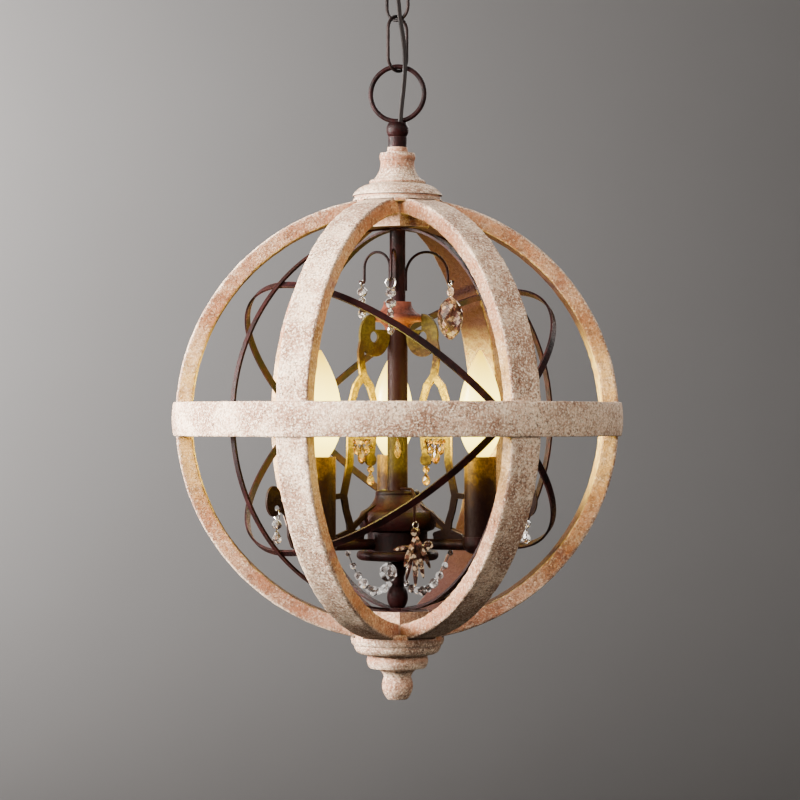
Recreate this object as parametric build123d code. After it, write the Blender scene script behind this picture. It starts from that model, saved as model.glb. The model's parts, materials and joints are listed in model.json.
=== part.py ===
from build123d import *
import math
import os

# An orb chandelier: a ball of painted wooden ribs round an iron cage, with three candle lamps,
# scrolled brackets and glass drops, hung by two chain links under a ceiling canopy.
# Everything is drawn round the centre of the orb, in millimetres with Z up, and each
# piece is moved down as it is saved, so that the saved origin lies on the ceiling.

# Clearances
FIT = 0.05           # round a dowel, thread, peg or lapped joint
SLIP = 0.1           # between a lamp base and its socket, and under a seated part
SEAT = 0.3           # between a flat end and the curved strip above or below it
GAP = 0.3            # between a hanging piece and what it hangs on
WELD = 0.02          # round a welded or pressed-in piece

# Wooden orb
ORB_RADIUS = 200.0   # outside of the equator band
BAND_PROUD = 3.0     # band beyond the ribs
BAND_HEIGHT = 30.0
BAND_THICKNESS = 15.0
BAND_BULGE = 1.4     # crown of the band's outer face
RIB_COUNT = 6
RIB_THICKNESS = 15.0
RIB_WIDTH = 30.0
RIB_EASE = 1.6       # rounding of the ribs' long edges
BLOCK_APOTHEM = 27.0
DOWEL_RADIUS = 4.0
DOWEL_LENGTH = 24.0
PEG_RADIUS = 3.0
PEG_COVER = 2.5      # wood left over a peg's outer end
CAP_RADIUS = 40.0
CAP_HEIGHT = 50.7
CAP_SINK = 6.7       # cap's foot below the ribs' tops
FINIAL_RADIUS = 41.4
FINIAL_HEIGHT = 59.6
FINIAL_SINK = 8.0
FINIAL_SCREW = 21.0  # depth of the tail rod's hole

# Iron cage
CAGE_GAP = 12.4      # between the ribs and the cage
STRIP_THICKNESS = 2.0
STRIP_WIDTH = 6.0
HOOP_AZIMUTH = 30.0
OBLIQUE_TILT = 44.0
POLE_PLATE_RADIUS = 11.0

# Centre column
PIPE_RADIUS = 4.8
PIPE_BORE = 3.2
ROD_RADIUS = 4.0
STEM_RADIUS = 7.0
BELL_HEIGHT = 25.0
BELL_RADIUS = 24.3
COLUMN_RADIUS = 9.0
HUB_ROOF = 17.0      # solid part above the wiring space
HUB_RADIUS = 34.6
COVER_RADIUS = 36.4
HUB_NECK_RADIUS = 26.6
HUB_CAVITY_RADIUS = 22.0
HUB_HEIGHT = 54.0
SPIGOT_HEIGHT = 1.2
COVER_DEPTH = 9.5
COVER_EDGE = 8.0     # depth of the cover's rounded edge
COVER_FLAT = 13.0
NUT_ACROSS_FLATS = 15.0
NUT_HEIGHT = 6.0
THREAD_SHOW = 4.0    # thread past a nut
TAIL_LENGTH = 40.8   # below the hub's cover

# Candle lamps
LAMP_COUNT = 3
LAMP_REACH = 81.0
LAMP_AZIMUTH = 90.0
ARM_RISE = 6.5       # arm above the hub's base
ARM_RADIUS = 4.8
ARM_BORE = 3.4
SLEEVE_RADIUS = 14.0
SLEEVE_WALL = 1.5
SLEEVE_RISE = 3.5    # sleeve's foot above the middle of the arm
SLEEVE_LENGTH = 74.0
CUP_WALL = 1.6
SOCKET_RADIUS = 11.0
SOCKET_RECESS = 5.0  # socket mouth below the sleeve's top
BASE_RADIUS = 6.9
BASE_LENGTH = 24.0
BULB_RADIUS = 19.0
BULB_LENGTH = 96.0   # glass above the lamp base's rim
BULB_SEAT = 11.0     # glass inside the lamp base
BULB_WALL = 0.8
LEAD_RADIUS = 1.2

# Brackets and crystals
PLATE_THICKNESS = 3.0
CROSSBAR_SHARE = 0.331   # of the way from the hub's top to the column's top
CROSSBAR_HALF = 1.7
INNER_LIMB_REACH = 25.4
OUTER_LIMB_REACH = 50.0
TAB_REACH = 28.4
TAB_SHARE = 0.19
TAB_RADIUS = 5.4
HOOK_WIRE_RADIUS = 1.2
HOOK_CURL = 2.4
HOOK_RISE = 20.0     # hook above the bell's top
HOOK_HEIGHT = 25.0
HOOK_CLEARANCE = 18.6    # hooks' peaks below the cage
HOOK_AZIMUTHS = (-104.0, 22.0, 142.0)
HOOK_REACHES = (30.0, 50.0, 36.0)
EYE_RADIUS = 2.6
EYE_WIRE_RADIUS = 0.6
OUTER_HOLE_UP = 33.5     # hole in the outer scroll, above its lamp's foot
OUTER_HOLE_GAP = 24.4    # from the hole's middle out to the cage
OUTER_HOLE_RADIUS = 2.4
HOLE_EASE = 1.0
OUTER_EYE_RADIUS = 4.2
SPRAY_AZIMUTH = -71.0
SPRAY_REACH = 39.0
SPRAY_DROP = 27.0    # spray's hook below the hub's top
SPRAY_BEND = 9.0
GARLAND_REACH = 52.0     # where a garland leaves its arm
GARLAND_SAG = 17.5
GARLAND_BEADS = (2.6, 3.0, 3.6, 4.4, 3.4, 4.2, 3.2, 3.6, 2.8)
CRYSTAL_AZIMUTH = -115.0    # round crystal under the hub's cover
CRYSTAL_REACH = 22.0

# Hanger, chain and ceiling fitting
COLLAR_RADIUS = 8.3
COLLAR_HEIGHT = 9.4
BALL_RADIUS = 10.0
BALL_HEIGHT = 12.9
RING_OUTER_RADIUS = 26.35
RING_WIRE_RADIUS = 2.15
RING_AZIMUTH = -15.0
LINK_LENGTH = 51.5
LINK_WIDTH = 28.0
LINK_WIRE_RADIUS = 1.5
LINK_AZIMUTH = 45.0
LOOP_RADIUS = 12.0
LOOP_WIRE_RADIUS = 2.0
LOOP_COLLAR_RADIUS = 13.0
LOOP_COLLAR_HEIGHT = 15.5
CANOPY_RADIUS = 62.5
CANOPY_DEPTH = 26.0
CANOPY_WALL = 1.2
STRAP_WIDTH = 20.0
STRAP_THICKNESS = 2.0
STRAP_DROP = 16.0
STRAP_HALF_LENGTH = 56.0
SLOT_SPACING = 88.9
SLOT_RADIUS = 2.2
SLOT_LENGTH = 12.0
CORD_RADIUS = 2.1
CORD_WAY = 0.5       # round the cord where it enters the ball
CONNECTOR_BEND = 4.6

# Sizes that follow from those above
rib_outer = ORB_RADIUS - BAND_PROUD
rib_inner = rib_outer - RIB_THICKNESS
band_inner = ORB_RADIUS - BAND_THICKNESS
lap_radius = (rib_inner + ORB_RADIUS) / 2
rib_turn = 360 / RIB_COUNT
cage_radius = rib_inner - CAGE_GAP
block_inner = cage_radius + SLIP
block_outer = rib_outer - 2 * SLIP
hoop_inner = cage_radius - STRIP_THICKNESS
oblique_outer = hoop_inner - SLIP
oblique_inner = oblique_outer - STRIP_THICKNESS
lamp_turn = 360 / LAMP_COUNT
half_plate = PLATE_THICKNESS / 2
cap_foot = rib_outer - CAP_SINK
collar_foot = cap_foot + CAP_HEIGHT
hook_peak = hoop_inner - HOOK_CLEARANCE
hook_foot = hook_peak - HOOK_HEIGHT
bell_top = hook_foot - HOOK_RISE
column_top = bell_top - BELL_HEIGHT
tail_foot = SEAT - hoop_inner
cover_foot = tail_foot + TAIL_LENGTH
hub_base = cover_foot + COVER_DEPTH
hub_top = hub_base + HUB_HEIGHT
arm_height = hub_base + ARM_RISE
arm_top = arm_height + ARM_RADIUS
sleeve_foot = arm_height + SLEEVE_RISE
sleeve_top = sleeve_foot + SLEEVE_LENGTH
hole_height = arm_height + OUTER_HOLE_UP
outer_hole = (math.sqrt(hoop_inner**2 - hole_height**2) - OUTER_HOLE_GAP, hole_height)
scroll_out = outer_hole[0] - LAMP_REACH


def turned(start, *moves):
    """A solid of revolution: each move is a point (radius, z), or a pair (point on an arc, arc's end)."""
    edges = []
    here = start
    for move in moves:
        if isinstance(move[0], tuple):
            edges.append(ThreePointArc(here, move[0], move[1]))
            here = move[1]
        else:
            edges.append(Line(here, move))
            here = move
    edges.append(Line(here, start))
    return revolve(Plane.XZ * make_face(edges), Axis.Z)


def scaled(radius, foot, height, *moves):
    """Moves for a turned solid, from points in shares of a radius and of a height above a foot."""

    def spot(place):
        return (radius * place[0], foot + height * place[1])

    return [tuple(map(spot, move)) if isinstance(move[0], tuple) else spot(move) for move in moves]


def tube(outer, inner, low, high):
    """An upright tube round Z."""
    return turned((inner, low), (outer, low), (outer, high), (inner, high))


def rod(radius, low, high):
    """An upright round bar on Z."""
    return Pos(0, 0, (low + high) / 2) * Cylinder(radius, high - low)


def around(shape, azimuth):
    """A shape turned round Z."""
    return Rot(0, 0, azimuth) * shape


def save(node, *shapes):
    """Write one node, moved so that the ceiling is at z = 0."""
    lowered = [Pos(0, 0, -ceiling) * solid for shape in shapes for solid in shape.solids()]
    export_step(lowered[0] if len(lowered) == 1 else Compound(children=lowered), f"parts/{node}.step")


# ---------------------------------------------------------------- chain stack, from the orb upward
collar_top = collar_foot + COLLAR_HEIGHT
ball_middle = collar_top + BALL_HEIGHT / 2
ball_top = collar_top + BALL_HEIGHT
ring_mean = RING_OUTER_RADIUS - RING_WIRE_RADIUS
ring_middle = ball_top - 1.0 + RING_OUTER_RADIUS
ring_eye = ring_middle + ring_mean - RING_WIRE_RADIUS
link_bow = (LINK_WIDTH - 2 * LINK_WIRE_RADIUS) / 2
link_rise = LINK_LENGTH - 2 * LINK_WIRE_RADIUS
lower_link_foot = ring_eye - GAP - LINK_WIRE_RADIUS
lower_link_head = lower_link_foot + link_rise
upper_link_foot = lower_link_head - 2 * LINK_WIRE_RADIUS - GAP
upper_link_head = upper_link_foot + link_rise
loop_foot = upper_link_head - LINK_WIRE_RADIUS - GAP - LOOP_WIRE_RADIUS
loop_middle = loop_foot + LOOP_RADIUS
loop_collar_foot = loop_middle + 0.58 * LOOP_RADIUS
canopy_foot = loop_collar_foot + LOOP_COLLAR_HEIGHT
ceiling = canopy_foot + CANOPY_DEPTH


# ---------------------------------------------------------------- wooden orb
def rib_hoop(clearance=0.0):
    """A whole round hoop of rib section in the XZ plane."""
    section = Rectangle(RIB_THICKNESS + clearance, RIB_WIDTH + 2 * clearance)
    if not clearance:
        section = fillet(section.vertices(), RIB_EASE)
    middle = (rib_inner + rib_outer + clearance) / 2
    return revolve(Pos(middle, 0) * section, Axis.Y)


def hex_block(low, high, clearance=0.0):
    """The six-sided block that the ribs' ends butt against, its flats facing the ribs."""
    outline = RegularPolygon(BLOCK_APOTHEM + clearance, RIB_COUNT, major_radius=False, rotation=0)
    flats = Rot(0, 0, rib_turn / 2) * outline
    return extrude(Pos(0, 0, low) * flats, high - low)


def end_dowel(clearance=0.0):
    """The dowel between a block and one rib's end, above the equator."""
    height = math.sqrt(((rib_inner + rib_outer) / 2) ** 2 - (BLOCK_APOTHEM + DOWEL_LENGTH / 4) ** 2)
    bar = Cylinder(DOWEL_RADIUS + clearance, DOWEL_LENGTH + 2 * clearance, rotation=(0, 90, 0))
    return Pos(BLOCK_APOTHEM, 0, height) * bar


def lap_peg(clearance=0.0):
    """The peg through a rib and the band, put in from inside the orb."""
    inner_end = rib_inner + 0.5 - clearance
    outer_end = ORB_RADIUS - PEG_COVER + clearance
    bar = Cylinder(PEG_RADIUS + clearance, outer_end - inner_end, rotation=(0, 90, 0))
    return Pos((inner_end + outer_end) / 2, 0, 0) * bar


def mirrored_down(shape):
    return mirror(shape, Plane.XY)


block_space = BLOCK_APOTHEM + FIT
lap_band = tube(2 * ORB_RADIUS, lap_radius, -BAND_HEIGHT / 2 - FIT, BAND_HEIGHT / 2 + FIT)
rib = rib_hoop() & Pos(block_space + ORB_RADIUS / 2, 0, 0) * Box(ORB_RADIUS, 2 * RIB_WIDTH, 3 * ORB_RADIUS)
rib = rib - lap_band - end_dowel(FIT) - mirrored_down(end_dowel(FIT)) - lap_peg(FIT)

top_block = hex_block(block_inner, block_outer) - rod(PIPE_RADIUS + FIT, 0, ORB_RADIUS)
bottom_block = hex_block(-block_outer, -block_inner) - rod(ROD_RADIUS + FIT, -ORB_RADIUS, 0)

half_band = BAND_HEIGHT / 2
band_edge = ORB_RADIUS - BAND_BULGE
band = turned(
    (band_inner, -half_band), (band_edge, -half_band), ((ORB_RADIUS, 0), (band_edge, half_band)),
    (band_inner, half_band),
)
lap_notch = Pos(lap_radius, 0, 0) * Box(2 * BAND_THICKNESS, RIB_WIDTH + 2 * FIT, 2 * BAND_HEIGHT)
lap_notch = lap_notch & Cylinder(lap_radius + FIT, 2 * BAND_HEIGHT)

rib_space = rib_hoop(2 * FIT)
for turn in range(1, RIB_COUNT // 2):
    rib_space += around(rib_hoop(2 * FIT), turn * rib_turn)

dowels = []
for turn in range(RIB_COUNT):
    azimuth = turn * rib_turn
    dowel_pair = [around(end_dowel(), azimuth), around(mirrored_down(end_dowel()), azimuth)]
    dowels += dowel_pair + [around(lap_peg(), azimuth)]
    top_block -= around(end_dowel(FIT), azimuth)
    bottom_block -= around(mirrored_down(end_dowel(FIT)), azimuth)
    band = band - around(lap_notch, azimuth) - around(lap_peg(FIT), azimuth)

cap = turned(
    (PIPE_RADIUS + FIT, cap_foot),
    *scaled(
        CAP_RADIUS, cap_foot, CAP_HEIGHT,
        (0.94, 0), ((0.99, 0.057), (0.945, 0.114)), (0.955, 0.142), (1, 0.154), ((0.838, 0.288), (0.6, 0.355)),
        ((0.625, 0.389), (0.59, 0.426)), (0.535, 0.434), ((0.415, 0.572), (0.375, 0.759)),
        ((0.398, 0.838), (0.375, 0.9)), (0.23, 0.911), (0.22, 1),
    ),
    (PIPE_RADIUS + FIT, collar_foot),
)
cap = cap - rib_space - hex_block(0, block_outer + FIT, FIT)

finial_head = FINIAL_SINK - rib_outer
finial_screw = finial_head - FINIAL_SCREW
finial = turned(
    (0, finial_screw), (ROD_RADIUS + FIT, finial_screw), (ROD_RADIUS + FIT, finial_head),
    *scaled(
        FINIAL_RADIUS, finial_head, -FINIAL_HEIGHT,
        (0.954, 0), ((1, 0.092), (0.966, 0.178)), (0.932, 0.191), ((0.889, 0.275), (0.72, 0.329)),
        (0.628, 0.339), ((0.655, 0.436), (0.594, 0.534)), ((0.362, 0.579), (0.29, 0.671)),
        ((0.326, 0.839), (0.208, 1)), (0, 1),
    ),
)
finial = finial - rib_space - hex_block(-block_outer - FIT, 0, FIT)

for turn in range(RIB_COUNT):
    save(f"rib_{turn + 1}", around(rib, turn * rib_turn))
save("top_block", top_block)
save("bottom_block", bottom_block)
save("equator_band", band)
save("wooden_dowels", *dowels)
save("top_cap", cap)
save("bottom_finial", finial)


# ---------------------------------------------------------------- iron cage
def strip_hoop(inner, outer, width=STRIP_WIDTH):
    """A flat strip bent to a round hoop in the XY plane."""
    return tube(outer, inner, -width / 2, width / 2)


upright = Rot(90, 0, 0) * strip_hoop(hoop_inner, cage_radius)
pole_plate = rod(POLE_PLATE_RADIUS, hoop_inner, cage_radius)
pole_space = rod(POLE_PLATE_RADIUS + FIT, -ORB_RADIUS, ORB_RADIUS)
axis_holes = rod(PIPE_RADIUS + FIT, 0, ORB_RADIUS) + rod(ROD_RADIUS + FIT, -ORB_RADIUS, 0)
hoop_a = around(upright + pole_plate + mirrored_down(pole_plate), HOOP_AZIMUTH) - axis_holes
hoop_b = around(upright, HOOP_AZIMUTH + 90) - pole_space

tilt_azimuth = math.radians(HOOP_AZIMUTH + 90)
tilt_axis = Axis((0, 0, 0), (math.cos(tilt_azimuth), math.sin(tilt_azimuth), 0))
oblique = strip_hoop(oblique_inner, oblique_outer)
oblique_space = strip_hoop(oblique_inner - 1, oblique_outer + 1, STRIP_WIDTH + 2 * FIT)
oblique_p = oblique.rotate(tilt_axis, OBLIQUE_TILT)
oblique_q = oblique.rotate(tilt_axis, -OBLIQUE_TILT) - oblique_space.rotate(tilt_axis, OBLIQUE_TILT)

save("upright_hoops", hoop_a, hoop_b)
save("oblique_hoops", oblique_p, oblique_q)

# ---------------------------------------------------------------- centre column
pipe_foot = hub_top - HUB_ROOF - NUT_HEIGHT - THREAD_SHOW
pipe_head = collar_top + 3
pipe = tube(PIPE_RADIUS, PIPE_BORE, pipe_foot, pipe_head)
pipe_hole = PIPE_RADIUS + FIT
rod_hole = ROD_RADIUS + FIT

stem = tube(STEM_RADIUS, pipe_hole, bell_top, hoop_inner - SEAT)
bell = turned(
    (pipe_hole, column_top), (COLUMN_RADIUS + 1.7, column_top),
    ((COLUMN_RADIUS + 4.4, column_top + 5.2), (BELL_RADIUS - 3.8, column_top + 7.6)),
    ((BELL_RADIUS, column_top + 10.6), (BELL_RADIUS - 3.1, column_top + 13.6)),
    ((STEM_RADIUS + 7.6, bell_top - 7), (STEM_RADIUS + 5.2, bell_top)), (pipe_hole, bell_top),
)
column = tube(COLUMN_RADIUS, pipe_hole, hub_top, column_top)

shoulder = COLUMN_RADIUS + 10.5
swell = HUB_RADIUS - 2.4


def hub_skin(clearance=0.0):
    """Moves down the hub's outside, from its shoulder to its base."""
    neck = HUB_NECK_RADIUS + clearance
    return (
        ((HUB_RADIUS - 10.4 + clearance, hub_top - 13.5), (swell + clearance, hub_top - 19)),
        ((HUB_RADIUS + clearance, hub_top - 27), (swell + clearance, hub_top - 35)),
        (neck, hub_top - 37), (neck, hub_base),
    )


hub = turned(
    (pipe_hole, hub_top), (shoulder - 1.9, hub_top), ((shoulder - 0.3, hub_top - 1.2), (shoulder, hub_top - 4)),
    *hub_skin(), (HUB_CAVITY_RADIUS, hub_base),
    (HUB_CAVITY_RADIUS, hub_top - HUB_ROOF), (pipe_hole, hub_top - HUB_ROOF),
)
arm_hole = Pos(HUB_NECK_RADIUS, 0, arm_height) * Cylinder(ARM_RADIUS + FIT, 16, rotation=(0, 90, 0))
for turn in range(LAMP_COUNT):
    hub -= around(arm_hole, LAMP_AZIMUTH + turn * lamp_turn)

cover_edge = COVER_RADIUS - 3.6
spigot = HUB_CAVITY_RADIUS - SLIP
spigot_top = hub_base + SPIGOT_HEIGHT
cover = turned(
    (rod_hole, cover_foot), (COVER_FLAT, cover_foot), (cover_edge, hub_base - COVER_EDGE),
    ((COVER_RADIUS, hub_base - COVER_EDGE / 2), (COVER_RADIUS - 2, hub_base)), (spigot, hub_base),
    (spigot, spigot_top),
    (rod_hole, spigot_top),
)
tail_neck = rod_hole + 1.95


def tail_height(share):
    """Height of a point on the spindle below the hub, as a share of its length."""
    return tail_foot + share * TAIL_LENGTH


tail = turned(
    (rod_hole, cover_foot), (rod_hole + 1.35, cover_foot),
    ((rod_hole + 3.55, tail_height(0.84)), (tail_neck, tail_height(0.68))),
    (tail_neck, tail_height(0.453)), ((rod_hole + 5.25, tail_height(0.228)), (rod_hole + 2.15, tail_foot)),
    (rod_hole, tail_foot),
)
rod_head = spigot_top + NUT_HEIGHT + THREAD_SHOW
tail_rod = rod(ROD_RADIUS, finial_screw + 1, rod_head)


def hex_nut(low, hole):
    blank = extrude(Pos(0, 0, low) * RegularPolygon(NUT_ACROSS_FLATS / 2, 6, major_radius=False), NUT_HEIGHT)
    return blank - rod(hole, low - 1, low + NUT_HEIGHT + 1)


pipe_nut = hex_nut(hub_top - HUB_ROOF - NUT_HEIGHT, pipe_hole)
rod_nut = hex_nut(spigot_top, rod_hole)

save("centre_pipe", pipe)
save("stem_tube", stem)
save("bell_collar", bell)
save("column_tube", column)
save("hub_shell", hub)
save("hub_cover", cover)
save("tail_spindle", tail)
save("tail_rod", tail_rod)
save("hub_nuts", pipe_nut, rod_nut)

# ---------------------------------------------------------------- candle lamps
cup_rim = sleeve_foot + 4
cup_radius = SLEEVE_RADIUS + CUP_WALL
cup_bore = 6.0
cup = turned(
    (0, arm_height - 10), ((3.6, arm_height - 9.5), (5.2, arm_height - 7.1)),
    ((12.2, arm_height - 5.1), (cup_radius, sleeve_foot - 2)),
    (cup_radius, cup_rim), (SLEEVE_RADIUS + FIT, cup_rim), (SLEEVE_RADIUS + FIT, sleeve_foot),
    (cup_bore, sleeve_foot), (cup_bore, arm_height - ARM_BORE), (0, arm_height - ARM_BORE),
)


def level_bar(radius, start, end):
    """A round bar along +X at the arms' height."""
    return Pos((start + end) / 2, 0, arm_height) * Cylinder(radius, end - start, rotation=(0, 90, 0))


arm_start = HUB_CAVITY_RADIUS - 2
arm_bar = level_bar(ARM_RADIUS, arm_start, LAMP_REACH - 9)
arm_bore = level_bar(ARM_BORE, arm_start - 1, LAMP_REACH)
cup_recess = Pos(LAMP_REACH, 0, 0) * rod(SLEEVE_RADIUS + FIT, sleeve_foot, cup_rim + 1)
arm = Pos(LAMP_REACH, 0, 0) * cup + (arm_bar - cup_recess) - arm_bore

socket_mouth = sleeve_top - SOCKET_RECESS
socket_floor = socket_mouth - BASE_LENGTH - 4
socket_bore = BASE_RADIUS + SLIP
lead_hole = LEAD_RADIUS + 0.8
post_radius = cup_bore + 1.5
socket = turned(
    (lead_hole, sleeve_foot), (post_radius, sleeve_foot), (post_radius, socket_floor - 10),
    (SOCKET_RADIUS, socket_floor - 8), (SOCKET_RADIUS, socket_mouth), (socket_bore, socket_mouth),
    (socket_bore, socket_floor), (lead_hole, socket_floor),
)
sleeve = tube(SLEEVE_RADIUS, SLEEVE_RADIUS - SLEEVE_WALL, sleeve_foot, sleeve_top)

base_top = socket_mouth + 2.0
base_foot = base_top - BASE_LENGTH
base_cup = base_top - BULB_SEAT - 1
thread_wall = 0.6
bulb_base = turned(
    (0, base_foot - 2.6), (2.6, base_foot - 2.6), (4.4, base_foot), (BASE_RADIUS, base_foot + 3),
    (BASE_RADIUS, base_top), (BASE_RADIUS - thread_wall, base_top), (BASE_RADIUS - thread_wall, base_cup),
    (0, base_cup),
)


def bulb_height(share):
    """Height of a point on the flame-shaped glass, as a share of its length."""
    return base_top + share * BULB_LENGTH


neck = BASE_RADIUS - thread_wall - SLIP
neck_in = neck - BULB_WALL
belly = BULB_RADIUS
belly_in = belly - BULB_WALL
bulb_foot = base_top - BULB_SEAT
bulb_tip = bulb_height(1)
bulb = turned(
    (neck, bulb_foot), (neck, base_top + 1),
    ((0.78 * belly, bulb_height(0.156)), (belly, bulb_height(0.333))),
    ((0.93 * belly, bulb_height(0.552)), (0.67 * belly, bulb_height(0.75))),
    ((0.37 * belly, bulb_height(0.885)), (0.9, bulb_tip)), (0, bulb_tip), (0, bulb_tip - 2 * BULB_WALL),
    ((0.36 * belly_in, bulb_height(0.871)), (0.66 * belly_in, bulb_height(0.744))),
    ((0.925 * belly_in, bulb_height(0.552)), (belly_in, bulb_height(0.333))),
    ((0.775 * belly_in, bulb_height(0.16)), (neck_in, base_top + 2)), (neck_in, bulb_foot),
)

arms, sleeves, sockets = [], [], []
for turn in range(LAMP_COUNT):
    azimuth = LAMP_AZIMUTH + turn * lamp_turn
    arms.append(around(arm, azimuth))
    sleeves.append(around(Pos(LAMP_REACH, 0, 0) * sleeve, azimuth))
    sockets.append(around(Pos(LAMP_REACH, 0, 0) * socket, azimuth))
    save(f"bulb_base_{turn + 1}", around(Pos(LAMP_REACH, 0, 0) * bulb_base, azimuth))
    save(f"bulb_glass_{turn + 1}", around(Pos(LAMP_REACH, 0, 0) * bulb, azimuth))
save("candle_arms", *arms)
save("candle_sleeves", *sleeves)
save("lamp_sockets", *sockets)


# ---------------------------------------------------------------- scrolled brackets
def stroke(*spots):
    """A flat limb through spots (reach, z, half width) in the plane of a bracket."""
    limb = Sketch()
    for (x0, z0, w0), (x1, z1, w1) in zip(spots, spots[1:]):
        rounds = Pos(x0, z0) * Circle(w0) + Pos(x1, z1) * Circle(w1)
        limb += make_hull(rounds.edges())
    return limb


def column_height(share):
    """Height of a point on the inner scroll, as a share of the way from the hub's top to the column's top."""
    return hub_top + share * (column_top - hub_top)


leaf_middle = column_top - 5
elbow_height = hub_top - 4
crossbar = column_height(CROSSBAR_SHARE)
tab_height = column_height(TAB_SHARE)
fork = (36, column_height(0.711), 3.2)
elbow = (OUTER_LIMB_REACH + 6.5, elbow_height, 3.0)
leaf = Pos(24.5, leaf_middle) * Ellipse(15.5, 19) - Pos(25.2, leaf_middle - 1.5) * Ellipse(4.3, 4.9)
inner_limbs = (
    leaf
    + stroke((36.5, leaf_middle - 5, 3.2), (38.8, leaf_middle - 15, 3.0), (38, leaf_middle - 25, 3.0), fork)
    + stroke(
        fork, (29, column_height(0.648), 3.0), (25.2, column_height(0.563), 2.6),
        (24.2, column_height(0.444), 2.4), (INNER_LIMB_REACH, crossbar, 2.4),
        (TAB_REACH - 0.4, tab_height + 2, 2.8),
    )
    + Pos(TAB_REACH, tab_height) * Circle(TAB_RADIUS)
    + stroke(
        fork, (43.5, column_height(0.648), 3.0), (47.5, column_height(0.563), 2.8),
        (49.5, column_height(0.444), 2.6), (OUTER_LIMB_REACH, column_height(0.317), 2.8),
        (OUTER_LIMB_REACH, column_height(0.176), 3.2), (53.5, elbow_height + 13, 3.0), elbow,
    )
    + stroke(elbow, (54, elbow_height - 13, 2.8), (50.5, arm_top + 14.7, 3.0), (49, arm_top + 3.7, 3.4))
    + stroke((INNER_LIMB_REACH, crossbar, CROSSBAR_HALF), (OUTER_LIMB_REACH, crossbar, CROSSBAR_HALF))
    + stroke((OUTER_LIMB_REACH + 6.5, elbow_height, 2.4), (LAMP_REACH, elbow_height - 3, 2.4))
    + stroke((20, hub_top - 13, 2.4), (33, hub_top - 20.5, 2.2), (48, arm_top + 9.7, 2.4))
    + stroke((38, arm_top + 3.7, 2.6), (49, arm_top + 6.7, 3.0), (62, arm_top + 2.7, 2.2))
    + stroke((38, arm_top + 1, 2.0), (64, arm_top + 1, 2.0))
)
outer_rim = OUTER_HOLE_RADIUS + 2.2
SCROLL = (
    (0.255, -0.013, 3.6), (0.447, -0.067, 3.2), (0.606, 0.04, 3.0), (0.681, 0.28, 2.8), (0.702, 0.6, 2.6),
    (0.777, 0.867, 2.8), (0.936, 1.08, 3.4),
)
outer_scroll = stroke(*[(out * scroll_out, up * OUTER_HOLE_UP, half) for out, up, half in SCROLL])
scroll_leaf = Pos(scroll_out + 3.4, OUTER_HOLE_UP + 6) * Ellipse(7.4, 13.2)
outer_limbs = (
    Pos(LAMP_REACH, arm_height) * (outer_scroll + scroll_leaf)
    + Pos(*outer_hole) * Circle(outer_rim)
    - Pos(*outer_hole) * Circle(OUTER_HOLE_RADIUS)
)
hole_flare = Cone(OUTER_HOLE_RADIUS + HOLE_EASE, OUTER_HOLE_RADIUS, HOLE_EASE, rotation=(90, 0, 0))
hole_flares = Pos(outer_hole[0], HOLE_EASE / 2 - half_plate, outer_hole[1]) * mirror(hole_flare, Plane.XZ)
hole_flares += mirror(hole_flares, Plane.XZ)


def plate(outline):
    return extrude(Plane.XZ * outline, half_plate, both=True)


sleeve_space = Pos(LAMP_REACH, 0, 0) * rod(SLEEVE_RADIUS + FIT, cup_rim - 20, sleeve_top)
cup_space = Pos(LAMP_REACH, 0, 0) * rod(cup_radius + FIT, arm_height - 15, cup_rim)
arm_space = level_bar(ARM_RADIUS + FIT, 0, LAMP_REACH)
column_space = rod(COLUMN_RADIUS + FIT, hub_top, column_top + FIT)
bell_space = rod(BELL_RADIUS + FIT, column_top - FIT, bell_top)
hub_space = turned(
    (0, hub_top + FIT), (shoulder + 2 * FIT, hub_top + FIT), (shoulder + 2 * FIT, hub_top - 4),
    *hub_skin(2 * FIT), (0, hub_base),
)
inner_bracket = plate(inner_limbs) - column_space - bell_space - hub_space
inner_bracket = inner_bracket - arm_space - sleeve_space - cup_space
outer_bracket = plate(outer_limbs) - cup_space - hole_flares
for turn in range(LAMP_COUNT):
    azimuth = LAMP_AZIMUTH + turn * lamp_turn
    save(f"scroll_bracket_{turn + 1}", around(inner_bracket, azimuth), around(outer_bracket, azimuth))

# ---------------------------------------------------------------- glass drops and their hooks
BEAD = ((0, 0.3), (0.22, 0.86), (0.5, 1.0), (0.78, 0.86), (1, 0.3))
ALMOND = ((0, 0.1), (0.14, 0.34), (0.45, 0.82), (0.68, 1.0), (0.88, 0.74), (1, 0.2))
PRISM = ((0, 0.3), (0.12, 0.85), (0.82, 1.0), (1, 0.15))
OVAL = ((0, 0.15), (0.12, 0.6), (0.32, 0.92), (0.56, 1.0), (0.78, 0.84), (0.93, 0.46), (1, 0.14))


def cut_glass(profile, head, length, radius, flatness=1.0, sides=8):
    """A faceted drop that hangs down from z = head on the axis."""
    sections = []
    for depth, share in profile:
        corners = []
        for side in range(sides):
            angle = 2 * math.pi * side / sides
            corners.append((radius * share * math.cos(angle), flatness * radius * share * math.sin(angle)))
        sections.append(Pos(0, 0, head - length * depth) * make_face(Polyline(*corners, close=True)))
    return loft(sections, ruled=True)


def hanging_eye(mean_radius, head):
    """A wire eye in the YZ plane, its wire's highest centre at z = head."""
    ring = Torus(mean_radius, EYE_WIRE_RADIUS, rotation=(0, 90, 0))
    return Pos(0, 0, head - mean_radius) * ring


def glass_string(mean_radius, pieces):
    """An eye with its glass pieces below on one wire; the eye's top lies at the origin."""
    string = hanging_eye(mean_radius, 0)
    head = -2 * mean_radius
    foot = head
    for profile, length, radius, flatness in pieces:
        string += cut_glass(profile, foot - 0.4, length, radius, flatness)
        foot -= length + 0.4
    return string + rod(EYE_WIRE_RADIUS, foot + 0.4 * pieces[-1][1], head)


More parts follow.
